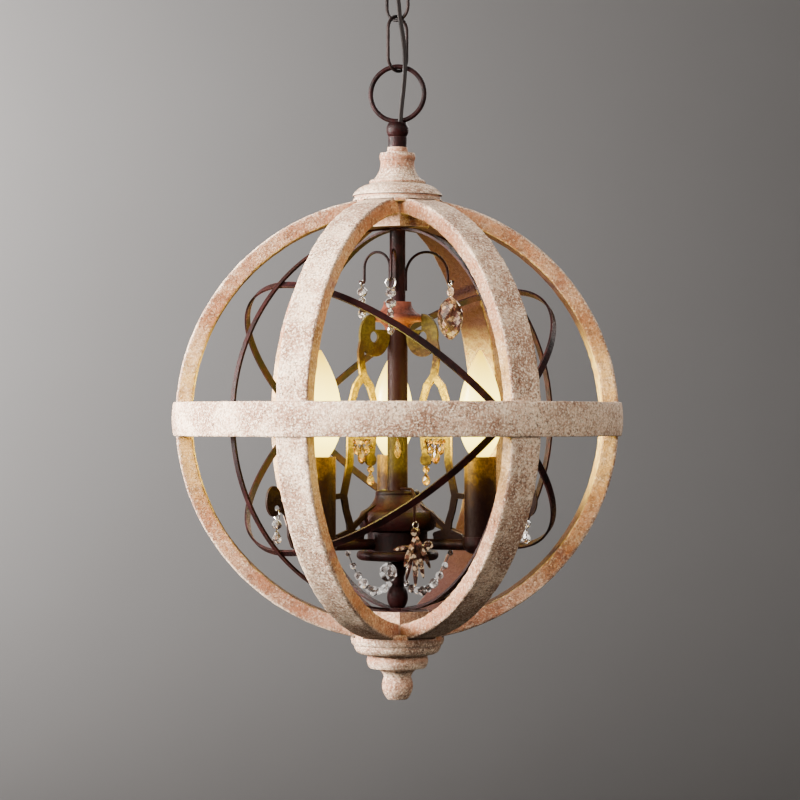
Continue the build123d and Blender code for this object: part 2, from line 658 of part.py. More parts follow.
hook_root = STEM_RADIUS + HOOK_WIRE_RADIUS + FIT
eye_drop = HOOK_WIRE_RADIUS + GAP + EYE_WIRE_RADIUS


def hook_wire(reach):
    """A cane-shaped wire off the stem that ends in a small upturned hook."""
    bend = (reach - hook_root) / 2
    shoulder = hook_peak - bend
    middle = hook_root + bend
    low = hook_foot - HOOK_CURL
    path = Wire([
        Edge.make_line((hook_root, 0, hook_foot - 10), (hook_root, 0, shoulder)),
        Edge.make_three_point_arc((hook_root, 0, shoulder), (middle, 0, hook_peak), (reach, 0, shoulder)),
        Edge.make_line((reach, 0, shoulder), (reach, 0, hook_foot)),
        Edge.make_three_point_arc(
            (reach, 0, hook_foot), (reach + HOOK_CURL, 0, low), (reach + 2 * HOOK_CURL, 0, hook_foot)
        ),
    ])
    return sweep(Plane(path @ 0, z_dir=path % 0) * Circle(HOOK_WIRE_RADIUS), path=path)


hook_strings = (
    ((BEAD, 8.0, 4.8, 1.0), (BEAD, 9.0, 5.0, 1.0), (PRISM, 9.0, 3.2, 1.0), (ALMOND, 14.0, 5.2, 0.6)),
    ((BEAD, 8.5, 3.4, 1.0), (OVAL, 38.0, 12.6, 0.45)),
    ((BEAD, 8.5, 4.8, 1.0), (BEAD, 6.0, 3.4, 1.0), (ALMOND, 14.0, 4.6, 0.6)),
)
hook_names = ("front", "right", "left")
hook_eyes = (4.4, EYE_RADIUS, EYE_RADIUS)
hooks = []
hook_rows = zip(hook_names, HOOK_AZIMUTHS, HOOK_REACHES, hook_eyes, hook_strings)
for name, azimuth, reach, eye, pieces in hook_rows:
    hooks.append(around(hook_wire(reach), azimuth))
    eye_place = Pos(reach + HOOK_CURL, 0, hook_foot - HOOK_CURL + eye_drop)
    save(f"hook_drop_{name}", around(eye_place * glass_string(eye, pieces), azimuth))

# A fourth hook leaves the column above the hub and carries the spray of long drops in front of it.
spray_foot = hub_top - SPRAY_DROP
spray_top_wire = hub_top + HOOK_WIRE_RADIUS + GAP
spray_shoulder = spray_top_wire - SPRAY_BEND
bend_start = SPRAY_REACH - SPRAY_BEND
bend_share = math.sin(math.pi / 4)
spray_path = Wire([
    Edge.make_line((COLUMN_RADIUS + SLIP, 0, spray_top_wire), (bend_start, 0, spray_top_wire)),
    Edge.make_three_point_arc(
        (bend_start, 0, spray_top_wire),
        (bend_start + SPRAY_BEND * bend_share, 0, spray_shoulder + SPRAY_BEND * bend_share),
        (SPRAY_REACH, 0, spray_shoulder),
    ),
    Edge.make_line((SPRAY_REACH, 0, spray_shoulder), (SPRAY_REACH, 0, spray_foot)),
    Edge.make_three_point_arc(
        (SPRAY_REACH, 0, spray_foot), (SPRAY_REACH + HOOK_CURL, 0, spray_foot - HOOK_CURL),
        (SPRAY_REACH + 2 * HOOK_CURL, 0, spray_foot),
    ),
])
spray_wire = sweep(Plane(spray_path @ 0, z_dir=spray_path % 0) * Circle(HOOK_WIRE_RADIUS), path=spray_path)
hooks.append(around(spray_wire, SPRAY_AZIMUTH))
save("hook_wires", *hooks)

spray_top = -2 * EYE_RADIUS
spray = hanging_eye(EYE_RADIUS, 0) + cut_glass(BEAD, spray_top + 0.8, 8.0, 4.4)
for lean, swing, length, radius in (
    (0, 0, 46, 3.2), (0, 11, 40, 3.0), (0, -12, 42, 3.0), (7, 22, 33, 2.8), (7, -23, 31, 2.8), (9, 7, 31, 2.6),
):
    finger = cut_glass(ALMOND, 0, length, radius, 0.8, sides=6)
    spray += Pos(0, 0, spray_top - 4.5) * Rot(swing, -lean, 0) * finger

# One leaf lies across the spray's left side, and one bead stands out on its right on a short wire
side_height = spray_top - 15
leaf_glass = cut_glass(ALMOND, 0, 20, 4.6, 0.5, sides=6)
spray += Pos(0, -1, side_height) * Rot(-80, 0, 0) * leaf_glass
spray += Pos(0, 6, side_height) * Rot(90, 0, 0) * Cylinder(EYE_WIRE_RADIUS, 12)
spray += Pos(0, 12, 0) * cut_glass(BEAD, side_height + 3.8, 7.6, 4.4)
eye_place = Pos(SPRAY_REACH + HOOK_CURL, 0, spray_foot - HOOK_CURL + eye_drop)
save("drop_spray", around(eye_place * spray, SPRAY_AZIMUTH))

outer_pieces = ((BEAD, 8.0, 4.6, 1.0), (ALMOND, 12.6, 4.6, 0.5))
outer_string = glass_string(OUTER_EYE_RADIUS, outer_pieces)
outer_eye_head = outer_hole[1] - OUTER_HOLE_RADIUS + EYE_WIRE_RADIUS + GAP
for turn in range(LAMP_COUNT):
    azimuth = LAMP_AZIMUTH + turn * lamp_turn
    save(f"outer_drop_{turn + 1}", around(Pos(outer_hole[0], 0, outer_eye_head) * outer_string, azimuth))

# Small drops wired tight under each bracket's crossbar and tab, a garland of beads from each arm to the
# spindle's neck, and one round crystal under the hub's cover
def fixed_string(head, pieces):
    """Glass pieces one under another, the first one's top at z = head."""
    string = cut_glass(*pieces[0][:1], head, *pieces[0][1:])
    foot = head - pieces[0][1] + 0.4
    for profile, length, radius in pieces[1:]:
        string += cut_glass(profile, foot, length, radius)
        foot -= length - 0.4
    return string


def wire_between(start, end):
    """A straight wire between two points."""
    way = Vector(*end) - Vector(*start)
    return Plane(start, z_dir=way) * Pos(0, 0, way.length / 2) * Cylinder(EYE_WIRE_RADIUS, way.length)


crossbar_foot = crossbar - CROSSBAR_HALF
crossbar_middle = (INNER_LIMB_REACH + OUTER_LIMB_REACH) / 2
tab_foot = tab_height - TAB_RADIUS
arm_foot = arm_height - ARM_RADIUS
last_bead = GARLAND_BEADS[-1]
garland_start = (GARLAND_REACH, arm_foot - GARLAND_BEADS[0])
garland_end = (tail_neck + SLIP + last_bead, tail_height(0.453) + last_bead)
garland_spots = []
for step in range(len(GARLAND_BEADS)):
    share = step / (len(GARLAND_BEADS) - 1)
    reach = garland_start[0] + share * (garland_end[0] - garland_start[0])
    height = garland_start[1] + share * (garland_end[1] - garland_start[1])
    garland_spots.append((reach, 0, height - 4 * GARLAND_SAG * share * (1 - share)))
garland = Part()
for spot, radius in zip(garland_spots, GARLAND_BEADS):
    garland += Pos(spot[0], 0, 0) * cut_glass(BEAD, spot[2] + radius, 2 * radius, radius)
for start, end in zip(garland_spots, garland_spots[1:]):
    garland += wire_between(start, end)

trim = []
for turn in range(LAMP_COUNT):
    azimuth = LAMP_AZIMUTH + turn * lamp_turn
    strings = (
        Pos(crossbar_middle, 0, 0) * fixed_string(crossbar_foot, ((BEAD, 7.0, 3.4), (ALMOND, 18.0, 4.2))),
        Pos(TAB_REACH, 0, 0) * fixed_string(tab_foot, ((BEAD, 6.0, 3.2), (ALMOND, 12.0, 3.6))),
        garland,
    )
    trim += [around(string, azimuth) for string in strings]
cover_slope = (COVER_DEPTH - COVER_EDGE) / (cover_edge - COVER_FLAT)
crystal_head = cover_foot + cover_slope * (CRYSTAL_REACH - COVER_FLAT) - SLIP
crystal = rod(EYE_WIRE_RADIUS, crystal_head - 2, crystal_head)
crystal += Rot(0, 0, 90) * cut_glass(BEAD, crystal_head - 1, 16.4, 8.4, 0.5)
trim.append(around(Pos(CRYSTAL_REACH, 0, 0) * crystal, CRYSTAL_AZIMUTH))
save("small_drops", *trim)

# ---------------------------------------------------------------- hanger
chamber_radius = 7.8
ball_waist = math.sqrt(BALL_RADIUS**2 - (BALL_HEIGHT / 2) ** 2)
ball = turned(
    (pipe_hole, collar_top), (ball_waist, collar_top), ((BALL_RADIUS, ball_middle), (ball_waist, ball_top)),
    (0, ball_top), (0, ball_top - 3.2), (chamber_radius, ball_top - 3.2), (chamber_radius, pipe_head),
    (pipe_hole, pipe_head),
)
ring = Pos(0, 0, ring_middle) * Torus(ring_mean, RING_WIRE_RADIUS, rotation=(90, 0, 0))
ring = around(ring, RING_AZIMUTH)
ring_groove = Pos(0, 0, ring_middle) * Torus(ring_mean, RING_WIRE_RADIUS + WELD, rotation=(90, 0, 0))
ball = ball - around(ring_groove, RING_AZIMUTH)
collar = tube(COLLAR_RADIUS, pipe_hole, collar_foot, collar_top)
save("hanging_ring", ring)
save("collar_nut", collar)


def chain_link(foot, azimuth):
    """An oval wire link, its lowest wire centre at z = foot."""
    low = foot + link_bow
    high = foot + link_rise - link_bow
    path = Wire([
        Edge.make_line((link_bow, 0, low), (link_bow, 0, high)),
        Edge.make_three_point_arc((link_bow, 0, high), (0, 0, foot + link_rise), (-link_bow, 0, high)),
        Edge.make_line((-link_bow, 0, high), (-link_bow, 0, low)),
        Edge.make_three_point_arc((-link_bow, 0, low), (0, 0, foot), (link_bow, 0, low)),
    ])
    link = sweep(Plane((link_bow, 0, low), z_dir=(0, 0, 1)) * Circle(LINK_WIRE_RADIUS), path=path)
    return around(link, azimuth)


save("chain_link_lower", chain_link(lower_link_foot, LINK_AZIMUTH))
save("chain_link_upper", chain_link(upper_link_foot, LINK_AZIMUTH + 90))

# ---------------------------------------------------------------- ceiling fitting
nipple_head = ceiling - STRAP_DROP + 3.9
nipple_foot = loop_collar_foot + 4
loop_ring = Pos(0, 0, loop_middle) * Torus(LOOP_RADIUS, LOOP_WIRE_RADIUS, rotation=(90, 0, 0))
loop_head = canopy_foot - FIT
flange_radius = LOOP_COLLAR_RADIUS + 2
loop_collar = turned(
    (0, loop_collar_foot), (LOOP_COLLAR_RADIUS - 3.5, loop_collar_foot),
    ((LOOP_COLLAR_RADIUS - 0.6, loop_collar_foot + 2), (LOOP_COLLAR_RADIUS, loop_collar_foot + 6)),
    (LOOP_COLLAR_RADIUS, loop_head - 2), (flange_radius, loop_head - 1), (flange_radius, loop_head),
    (0, loop_head),
)
loop_bore = rod(PIPE_BORE, loop_middle, nipple_foot + 1) + rod(pipe_hole, nipple_foot, ceiling)
canopy_loop = around(loop_ring, LINK_AZIMUTH) + loop_collar - loop_bore

rim = CANOPY_RADIUS
canopy = turned(
    (rim, ceiling), (rim, ceiling - 3), ((0.86 * rim, ceiling - 15), (0.5 * rim, ceiling - 20.5)),
    ((0.34 * rim, ceiling - 22.5), (0.26 * rim, canopy_foot)), (pipe_hole, canopy_foot),
    (pipe_hole, canopy_foot + CANOPY_WALL), (0.26 * rim - 0.6, canopy_foot + CANOPY_WALL),
    ((0.34 * rim - 0.5, ceiling - 21.2), (0.5 * rim - 0.3, ceiling - 19.2)),
    ((0.86 * rim - 1.0, ceiling - 14.0), (rim - CANOPY_WALL, ceiling - 2.6)), (rim - CANOPY_WALL, ceiling),
)
nipple = tube(PIPE_RADIUS, PIPE_BORE, nipple_foot + FIT, nipple_head)

strap_step = 30.0
strap_floor = ceiling - STRAP_DROP
centre_bar = Pos(0, 0, strap_floor + STRAP_THICKNESS / 2) * Box(2 * strap_step, STRAP_WIDTH, STRAP_THICKNESS)
riser_place = Pos(strap_step - STRAP_THICKNESS / 2, 0, ceiling - STRAP_DROP / 2)
riser = riser_place * Box(STRAP_THICKNESS, STRAP_WIDTH, STRAP_DROP)
foot_length = STRAP_HALF_LENGTH - strap_step + STRAP_THICKNESS
strap_foot = Pos(STRAP_HALF_LENGTH - foot_length / 2, 0, ceiling - STRAP_THICKNESS / 2) * Box(
    foot_length, STRAP_WIDTH, STRAP_THICKNESS
)
slot_outline = Pos(SLOT_SPACING / 2, 0, ceiling - STRAP_DROP / 2) * SlotOverall(SLOT_LENGTH, 2 * SLOT_RADIUS)
slot = extrude(slot_outline, STRAP_DROP)
half_strap = riser + strap_foot - slot
ground_place = (20.0, 0)
ground_radius = 1.7
strap = centre_bar + half_strap + Rot(0, 0, 180) * half_strap
strap = strap - rod(pipe_hole, 0, ceiling) - Pos(*ground_place) * rod(ground_radius + FIT, 0, ceiling)

strap_top = strap_floor + STRAP_THICKNESS
half_nut = 3.8
lower_nut = hex_nut(strap_floor - half_nut, pipe_hole) & rod(20, strap_floor - half_nut, strap_floor)
upper_nut = hex_nut(strap_top, pipe_hole) & rod(20, strap_top, strap_top + 2.4)
screw_shank = rod(ground_radius, strap_floor - 2, strap_top)
ground_screw = Pos(*ground_place) * (screw_shank + rod(3.2, strap_top, strap_top + 2.2))

connector = turned((0, 0), (5.4, 0), (5.4, 6), (4.2, 15), ((3.6, 17.2), (1.6, 18)), (0, 18))
cord_end = (0.0, 22.0, ceiling - 7.0)
connectors = []
for side in (-5.6, 5.6):
    connectors.append(Pos(side, cord_end[1] + GAP, cord_end[2]) * Rot(-90, 0, 0) * connector)

save("canopy_loop", canopy_loop)
save("canopy", canopy)
save("canopy_nipple", nipple)
save("mounting_strap", strap)
save("strap_nuts", lower_nut, upper_nut)
save("ground_screw", ground_screw)
save("wire_connectors", *connectors)


# ---------------------------------------------------------------- cord and wiring
def cord_tube(name, points, radius, tight=None):
    """A round cord of straight runs and tangent arcs through hand-chosen points."""
    spots = [Vector(*point) for point in points]
    radii = []
    for before, corner, after in zip(spots, spots[1:], spots[2:]):
        run_in = corner - before
        run_out = after - corner
        turn_angle = math.radians(run_in.get_angle(run_out))
        largest = 0.45 * min(run_in.length, run_out.length) / math.tan(turn_angle / 2)
        radii.append(min(largest, (tight or {}).get(len(radii), largest)))
    path = FilletPolyline(*spots, radius=radii)
    section = Plane(path @ 0, z_dir=path % 0) * Circle(radius)
    solid = sweep(section, path=path)
    drawn = math.pi * radius**2 * path.length
    print(name, "radii", [round(r, 1) for r in radii], "volume share", round(solid.volume / drawn, 4))
    return solid


cord_entry = collar_foot + 5
CORD_ROUTE = (
    cord_end, (0.0, 0.0, ceiling - 7.0), (0.0, 0.0, loop_collar_foot - 1.0), (-1.0, 7.4, 404.0),
    (-1.5, 7.9, 391.0), (-0.2, 2.6, 380.0), (1.0, -4.4, 367.0), (1.6, -8.0, 354.0), (4.0, -7.8, 342.0),
    (6.2, -7.2, 323.0), (6.1, -7.0, 305.0), (4.4, -6.2, 287.0), (2.7, -5.7, 272.0), (2.4, -5.4, 262.6),
    (0.0, 0.0, 254.6), (0.0, 0.0, cord_entry),
)
UPPER_RUNS = 6       # points of the route above the upper link's middle
MIDDLE_RUNS = 9      # points above the lower link's middle


def midway(index):
    """The point halfway along the run that ends at a point of the cord's route."""
    start, end = Vector(*CORD_ROUTE[index - 1]), Vector(*CORD_ROUTE[index])
    return tuple((start + end) / 2)


upper_points = CORD_ROUTE[:UPPER_RUNS] + (midway(UPPER_RUNS),)
middle_points = (midway(UPPER_RUNS),) + CORD_ROUTE[UPPER_RUNS:MIDDLE_RUNS] + (midway(MIDDLE_RUNS),)
lower_points = (midway(MIDDLE_RUNS),) + CORD_ROUTE[MIDDLE_RUNS:]
save("cord_upper", cord_tube("cord_upper", upper_points, CORD_RADIUS, {0: CONNECTOR_BEND}))
save("cord_middle", cord_tube("cord_middle", middle_points, CORD_RADIUS))
save("cord_lower", cord_tube("cord_lower", lower_points, CORD_RADIUS))
save("ball_nut", ball - cord_tube("cord way", lower_points, CORD_RADIUS + CORD_WAY))

splice_floor = pipe_foot - 8
splice_top = splice_floor + 5
inner_wires = [rod(6.0, splice_floor, splice_top), rod(CORD_RADIUS, splice_top + GAP, cord_entry)]
splice_middle = splice_floor + 2.5
lead_points = (
    (6.4, 0, splice_middle), (13.0, 0, splice_middle), (HUB_CAVITY_RADIUS - 2.5, 0, arm_height),
    (50.0, 0, arm_height + 0.8), (LAMP_REACH, 0, arm_height), (LAMP_REACH, 0, socket_floor - 4),
)
lead = cord_tube("lead", lead_points, LEAD_RADIUS, {1: 4.0, 3: 4.0})
for turn in range(LAMP_COUNT):
    inner_wires.append(around(lead, LAMP_AZIMUTH + turn * lamp_turn))
save("inner_wiring", *inner_wires)
print("ceiling above the orb's centre", round(ceiling, 2))
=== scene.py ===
"""The looks of an orb chandelier: worn painted ribs, rust-brown iron, lit candle lamps and cut glass."""
import json
import math

import bpy
import numpy as np
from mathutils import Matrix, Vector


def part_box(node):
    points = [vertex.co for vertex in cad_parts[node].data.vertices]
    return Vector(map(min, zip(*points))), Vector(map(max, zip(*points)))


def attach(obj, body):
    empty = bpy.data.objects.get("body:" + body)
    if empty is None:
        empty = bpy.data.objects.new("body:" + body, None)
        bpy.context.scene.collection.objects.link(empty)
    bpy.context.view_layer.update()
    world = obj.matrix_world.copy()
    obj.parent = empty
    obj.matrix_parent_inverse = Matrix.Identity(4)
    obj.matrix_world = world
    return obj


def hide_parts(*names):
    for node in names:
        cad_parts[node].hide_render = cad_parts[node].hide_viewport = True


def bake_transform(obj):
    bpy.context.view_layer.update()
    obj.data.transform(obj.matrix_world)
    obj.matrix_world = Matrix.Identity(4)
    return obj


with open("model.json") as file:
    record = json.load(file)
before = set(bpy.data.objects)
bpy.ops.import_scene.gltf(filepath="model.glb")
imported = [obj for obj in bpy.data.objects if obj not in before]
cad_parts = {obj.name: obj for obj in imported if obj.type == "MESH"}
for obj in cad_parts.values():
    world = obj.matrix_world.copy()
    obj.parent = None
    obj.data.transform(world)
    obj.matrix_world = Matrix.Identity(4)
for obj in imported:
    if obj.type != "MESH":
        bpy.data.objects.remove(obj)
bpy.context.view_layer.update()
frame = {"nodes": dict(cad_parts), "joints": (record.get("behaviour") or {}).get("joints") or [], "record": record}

# Shapes are drawn in millimetres round the centre of the orb and then moved to their place in the frame.
MM = 0.001
band_low, band_high = (np.array(corner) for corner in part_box("equator_band"))
ORB_CENTRE = (band_low + band_high) / 2
ORB_RADIUS = (band_high[0] - band_low[0]) / 2 / MM
CEILING = -ORB_CENTRE[2] / MM

# ---------------------------------------------------------------- camera, stage and light
CAMERA_AZIMUTH = math.radians(-93.3)
CAMERA_DISTANCE = 2.4
PHOTO_WIDTH = 800
ORB_PIXEL = (397.5, 419.0)
SCALE_AT_ORB = 0.888 * MM
SENSOR = 36.0


def placed(name, data):
    """A new object with this data, linked to the scene."""
    thing = bpy.data.objects.new(name, data)
    bpy.context.scene.collection.objects.link(thing)
    return thing


def make_camera():
    """A level camera at the orb's height, shifted so that the orb lies where the photograph has it."""
    data = bpy.data.cameras.new("camera")
    camera = placed("camera", data)
    data.sensor_width = SENSOR
    data.lens = SENSOR * CAMERA_DISTANCE / (PHOTO_WIDTH * SCALE_AT_ORB)
    data.shift_x = (PHOTO_WIDTH / 2 - ORB_PIXEL[0]) / PHOTO_WIDTH
    data.shift_y = (ORB_PIXEL[1] - PHOTO_WIDTH / 2) / PHOTO_WIDTH
    data.clip_start = 0.01
    away = np.array([math.cos(CAMERA_AZIMUTH), math.sin(CAMERA_AZIMUTH), 0.0])
    camera.location = ORB_CENTRE + CAMERA_DISTANCE * away
    camera.rotation_euler = (math.pi / 2, 0.0, CAMERA_AZIMUTH + math.pi / 2)
    bpy.context.scene.camera = camera


STAGE_FLOOR = -2.1
STAGE_RADIUS = 7.0
STAGE_COVE = 2.5
STAGE_HEIGHT = 7.0


def make_stage():
    """A grey floor that curves up into a round wall: a profile of a flat, a quarter arc and an upright."""
    turn = np.linspace(0, math.pi / 2, 24)
    arc_r = STAGE_RADIUS - STAGE_COVE + STAGE_COVE * np.sin(turn)
    arc_z = STAGE_FLOOR + STAGE_COVE * (1 - np.cos(turn))
    profile_r = np.concatenate([[0.01, 2.0], arc_r, [STAGE_RADIUS]])
    profile_z = np.concatenate([[STAGE_FLOOR, STAGE_FLOOR], arc_z, [STAGE_FLOOR + STAGE_HEIGHT]])
    azimuth = np.linspace(0, 2 * math.pi, 96, endpoint=False)
    grid = np.stack([
        profile_r[:, None] * np.cos(azimuth), profile_r[:, None] * np.sin(azimuth),
        np.repeat(profile_z[:, None], azimuth.size, axis=1),
    ], axis=-1)
    points, faces = grid_shape(grid, closed_ends=False)
    mesh = bpy.data.meshes.new("floor")
    mesh.from_pydata(points.tolist(), [], faces)
    mesh.polygons.foreach_set("use_smooth", [True] * len(mesh.polygons))
    floor = placed("floor", mesh)
    material, tree, shader = new_material("stage_grey")
    cloud = add(tree, "ShaderNodeTexNoise", {"Vector": object_coords(tree), "Scale": 0.9, "Detail": 3.0})
    tone = add(tree, "ShaderNodeMix", {"Factor": cloud.outputs[0]}, data_type="RGBA")
    feed(tree, tone, {6: (0.30, 0.288, 0.280, 1), 7: (0.36, 0.348, 0.340, 1)})
    feed(tree, shader, {"Base Color": tone.outputs[2], "Roughness": 0.95})
    mesh.materials.append(material)


def area_light(name, azimuth, elevation, distance, size, watts, colour, aim=None, spread=70):
    """A square soft light at an azimuth, elevation and distance from its aim, which is the orb by default."""
    data = bpy.data.lights.new(name, "AREA")
    data.size = size
    data.energy = watts
    data.color = colour
    data.spread = math.radians(spread)
    light = placed(name, data)
    a, e = math.radians(azimuth), math.radians(elevation)
    away = np.array([math.cos(a) * math.cos(e), math.sin(a) * math.cos(e), math.sin(e)])
    light.location = (ORB_CENTRE if aim is None else np.array(aim)) + distance * away
    light.rotation_euler = (math.pi / 2 - e, 0.0, a + math.pi / 2)
    light.visible_camera = False


def make_lights():
    """Lights on the orb, brightest from the left, lights on the wall before and behind it, and a dim sky."""
    area_light("key", -144, 20, 1.4, 0.7, 10, (1.0, 0.95, 0.89))
    area_light("left", -179, 10, 1.3, 0.5, 23, (1.0, 0.97, 0.93))
    area_light("front", -75, 26, 1.7, 1.0, 3.0, (1.0, 0.93, 0.85))
    area_light("right", -14, 14, 1.5, 0.8, 1.0, (1.0, 0.91, 0.84))
    area_light("top", 60, 70, 1.6, 1.0, 1.4, (1.0, 0.97, 0.94))
    area_light("wall", -112, 4, 1.7, 0.9, 190, (1.0, 0.975, 0.965), aim=(-2.4, 6.35, 0.6), spread=130)
    area_light("back", 62, 30, 1.6, 1.0, 4.5, (1.0, 0.97, 0.94))
    area_light("back_wall", 62, 4, 3.0, 1.8, 90, (1.0, 0.975, 0.965), aim=(1.2, -6.7, 0.3), spread=150)
    world = bpy.data.worlds.new("studio")
    bpy.context.scene.world = world
    world.use_nodes = True
    sky = world.node_tree.nodes["Background"]
    sky.inputs["Color"].default_value = (1.0, 0.975, 0.965, 1)
    sky.inputs["Strength"].default_value = 0.02


# ---------------------------------------------------------------- shapes as arrays
def grid_shape(grid, loop_rows=False, closed_ends=True):
    """Points and faces of a grid (rows, columns, 3) whose columns run round, closed flat at its ends."""
    rows, columns = grid.shape[:2]
    index = np.arange(rows * columns).reshape(rows, columns)
    round_index = np.concatenate([index, index[:, :1]], axis=1)
    if loop_rows:
        round_index = np.concatenate([round_index, round_index[:1]], axis=0)
    quads = np.stack([
        round_index[:-1, :-1], round_index[:-1, 1:], round_index[1:, 1:], round_index[1:, :-1],
    ], axis=-1).reshape(-1, 4)
    faces = quads.tolist()
    if closed_ends and not loop_rows:
        faces.append(index[0, ::-1].tolist())
        faces.append(index[-1].tolist())
    return grid.reshape(-1, 3), faces


def outward(shape):
    """The same shape with its faces turned outward, told by the sign of the volume they close."""
    points, faces = shape
    volume = 0.0
    for size in {len(face) for face in faces}:
        block = np.array([face for face in faces if len(face) == size])
        first = points[block[:, 0]]
        for k in range(1, size - 1):
            volume += np.einsum("ij,ij->", first, np.cross(points[block[:, k]], points[block[:, k + 1]]))
    return (points, [face[::-1] for face in faces]) if volume < 0 else shape


def turn_about_z(points, azimuth):
    """Points turned round Z by an azimuth in degrees."""
    a = math.radians(azimuth)
    matrix = np.array([[math.cos(a), math.sin(a), 0], [-math.sin(a), math.cos(a), 0], [0, 0, 1]])
    return points @ matrix


def moved(shape, offset=(0, 0, 0), azimuth=0.0):
    """A shape moved by an offset, and then turned round Z."""
    points, faces = shape
    return turn_about_z(points + np.array(offset, float), azimuth), faces


def arc_through(start, middle, end, steps):
    """Points of the circular arc from start through middle to end, start left out."""
    start, middle, end = (np.array(p, float) for p in (start, middle, end))
    a, b = middle - start, end - start
    cross = a[0] * b[1] - a[1] * b[0]
    centre = start + np.array([
        b[1] * (a @ a) - a[1] * (b @ b), a[0] * (b @ b) - b[0] * (a @ a),
    ]) / (2 * cross)
    angles = [math.atan2(*(p - centre)[::-1]) for p in (start, middle, end)]
    sweep_mid = (angles[1] - angles[0]) % (2 * math.pi)
    sweep_all = (angles[2] - angles[0]) % (2 * math.pi)
    if sweep_mid > sweep_all:
        sweep_all -= 2 * math.pi
    t = angles[0] + sweep_all * np.arange(1, steps + 1) / steps
    return centre + np.linalg.norm(start - centre) * np.stack([np.cos(t), np.sin(t)], axis=-1)


def outline(start, *moves, steps=10):
    """A profile (radius, z): each move is a point, or a pair (point on an arc, arc's end)."""
    here = np.array(start, float)
    runs = [here[None]]
    for move in moves:
        if np.ndim(move[0]):
            run = arc_through(here, move[0], move[1], steps)
        else:
            run = np.array([move], float)
        runs.append(run)
        here = run[-1]
    return np.concatenate(runs)


def lathe(profile, segments=96, loop=False):
    """A profile turned round Z: rows follow the profile and columns go round."""
    azimuth = np.linspace(0, 2 * math.pi, segments, endpoint=False)
    radius, height = profile[:, :1], profile[:, 1:]
    grid = np.stack([
        radius * np.cos(azimuth), radius * np.sin(azimuth), np.repeat(height, segments, axis=1),
    ], axis=-1)
    return grid_shape(grid, loop_rows=loop)


def sweep(path, section, loop=False, first_side=(0.0, 0.0, 1.0)):
    """A flat section (side, up) carried along a path with the least turning."""
    tangent = np.gradient(path, axis=0)
    if loop:
        tangent = np.roll(path, -1, axis=0) - np.roll(path, 1, axis=0)
    tangent /= np.linalg.norm(tangent, axis=1, keepdims=True)
    side = np.empty_like(path)
    here = np.array(first_side, float)
    for k, direction in enumerate(tangent):
        here = here - direction * (here @ direction)
        here /= np.linalg.norm(here)
        side[k] = here
    up = np.cross(tangent, side)
    grid = path[:, None] + section[None, :, :1] * side[:, None] + section[None, :, 1:] * up[:, None]
    return grid_shape(grid, loop_rows=loop)


def circle(radius, count=12):
    t = np.linspace(0, 2 * math.pi, count, endpoint=False)
    return radius * np.stack([np.cos(t), np.sin(t)], axis=-1)


def wire_ring(centre, radius, wire, azimuth=0.0, count=40):
    """A wire ring upright in the plane of Z and an azimuth."""
    t = np.linspace(0, 2 * math.pi, count, endpoint=False)
    ring = np.stack([radius * np.cos(t), np.zeros(count), radius * np.sin(t)], axis=-1)
    path = turn_about_z(ring, azimuth) + np.array(centre, float)
    normal = turn_about_z(np.array([[0.0, 1.0, 0.0]]), azimuth)[0]
    return sweep(path, circle(wire), loop=True, first_side=normal)


def ripple(points, size, seed, waves=36):
    """A smooth uneven field, about -1 to 1: a sum of plane waves of about one size in millimetres."""
    rng = np.random.default_rng(seed)
    direction = rng.normal(size=(waves, 3))
    direction /= np.linalg.norm(direction, axis=1, keepdims=True)
    frequency = 2 * math.pi / size * rng.uniform(0.55, 1.6, waves)
    phase = rng.uniform(0, 2 * math.pi, waves)
    flat = points.reshape(-1, 3)
    field = np.sin(flat @ (direction * frequency[:, None]).T + phase).sum(axis=1)
    return (field / math.sqrt(waves)).reshape(points.shape[:-1])


def tilted(shape, swing, lean):
    """A shape turned by lean degrees round Y, and then by swing degrees round X."""
    points, faces = shape
    x, y, z = points.T
    b = math.radians(lean)
    x, z = x * math.cos(b) + z * math.sin(b), z * math.cos(b) - x * math.sin(b)
    a = math.radians(swing)
    y, z = y * math.cos(a) - z * math.sin(a), y * math.sin(a) + z * math.cos(a)
    return np.stack([x, y, z], axis=-1), faces


def cut_glass(profile, head, length, radius, flatness=1.0, sides=8):
    """A faceted drop below z = head: rings of corners, each half a step round from the last, in triangles."""
    rings = np.array(profile)
    row, column = np.meshgrid(np.arange(len(rings)), np.arange(sides), indexing="ij")
    angle = 2 * math.pi * (column + 0.5 * (row % 2)) / sides
    reach = radius * rings[:, 1:] * np.ones(sides)
    height = np.repeat(head - length * rings[:, :1], sides, axis=1)
    grid = np.stack([reach * np.cos(angle), flatness * reach * np.sin(angle), height], axis=-1)
    index = row * sides + column
    here, there = index[:-1], index[1:]
    here_next, there_next = np.roll(here, -1, axis=1), np.roll(there, -1, axis=1)
    odd = (row[:-1] % 2 == 1)[..., None]
    first = np.where(odd, np.stack([here, there_next, there], -1), np.stack([here, here_next, there], -1))
    second = np.where(
        odd, np.stack([here, here_next, there_next], -1), np.stack([here_next, there_next, there], -1)
    )
    faces = np.concatenate([first.reshape(-1, 3), second.reshape(-1, 3)]).tolist()
    faces += [index[0, ::-1].tolist(), index[-1].tolist()]
    return grid.reshape(-1, 3), faces


def wire(start, end, radius=0.6, count=10):
    """A straight round wire between two points."""
    path = np.linspace(np.array(start, float), np.array(end, float), 3)
    side = np.cross(path[1] - path[0], (0.31, 0.87, 0.22))
    return sweep(path, circle(radius, count), first_side=side)


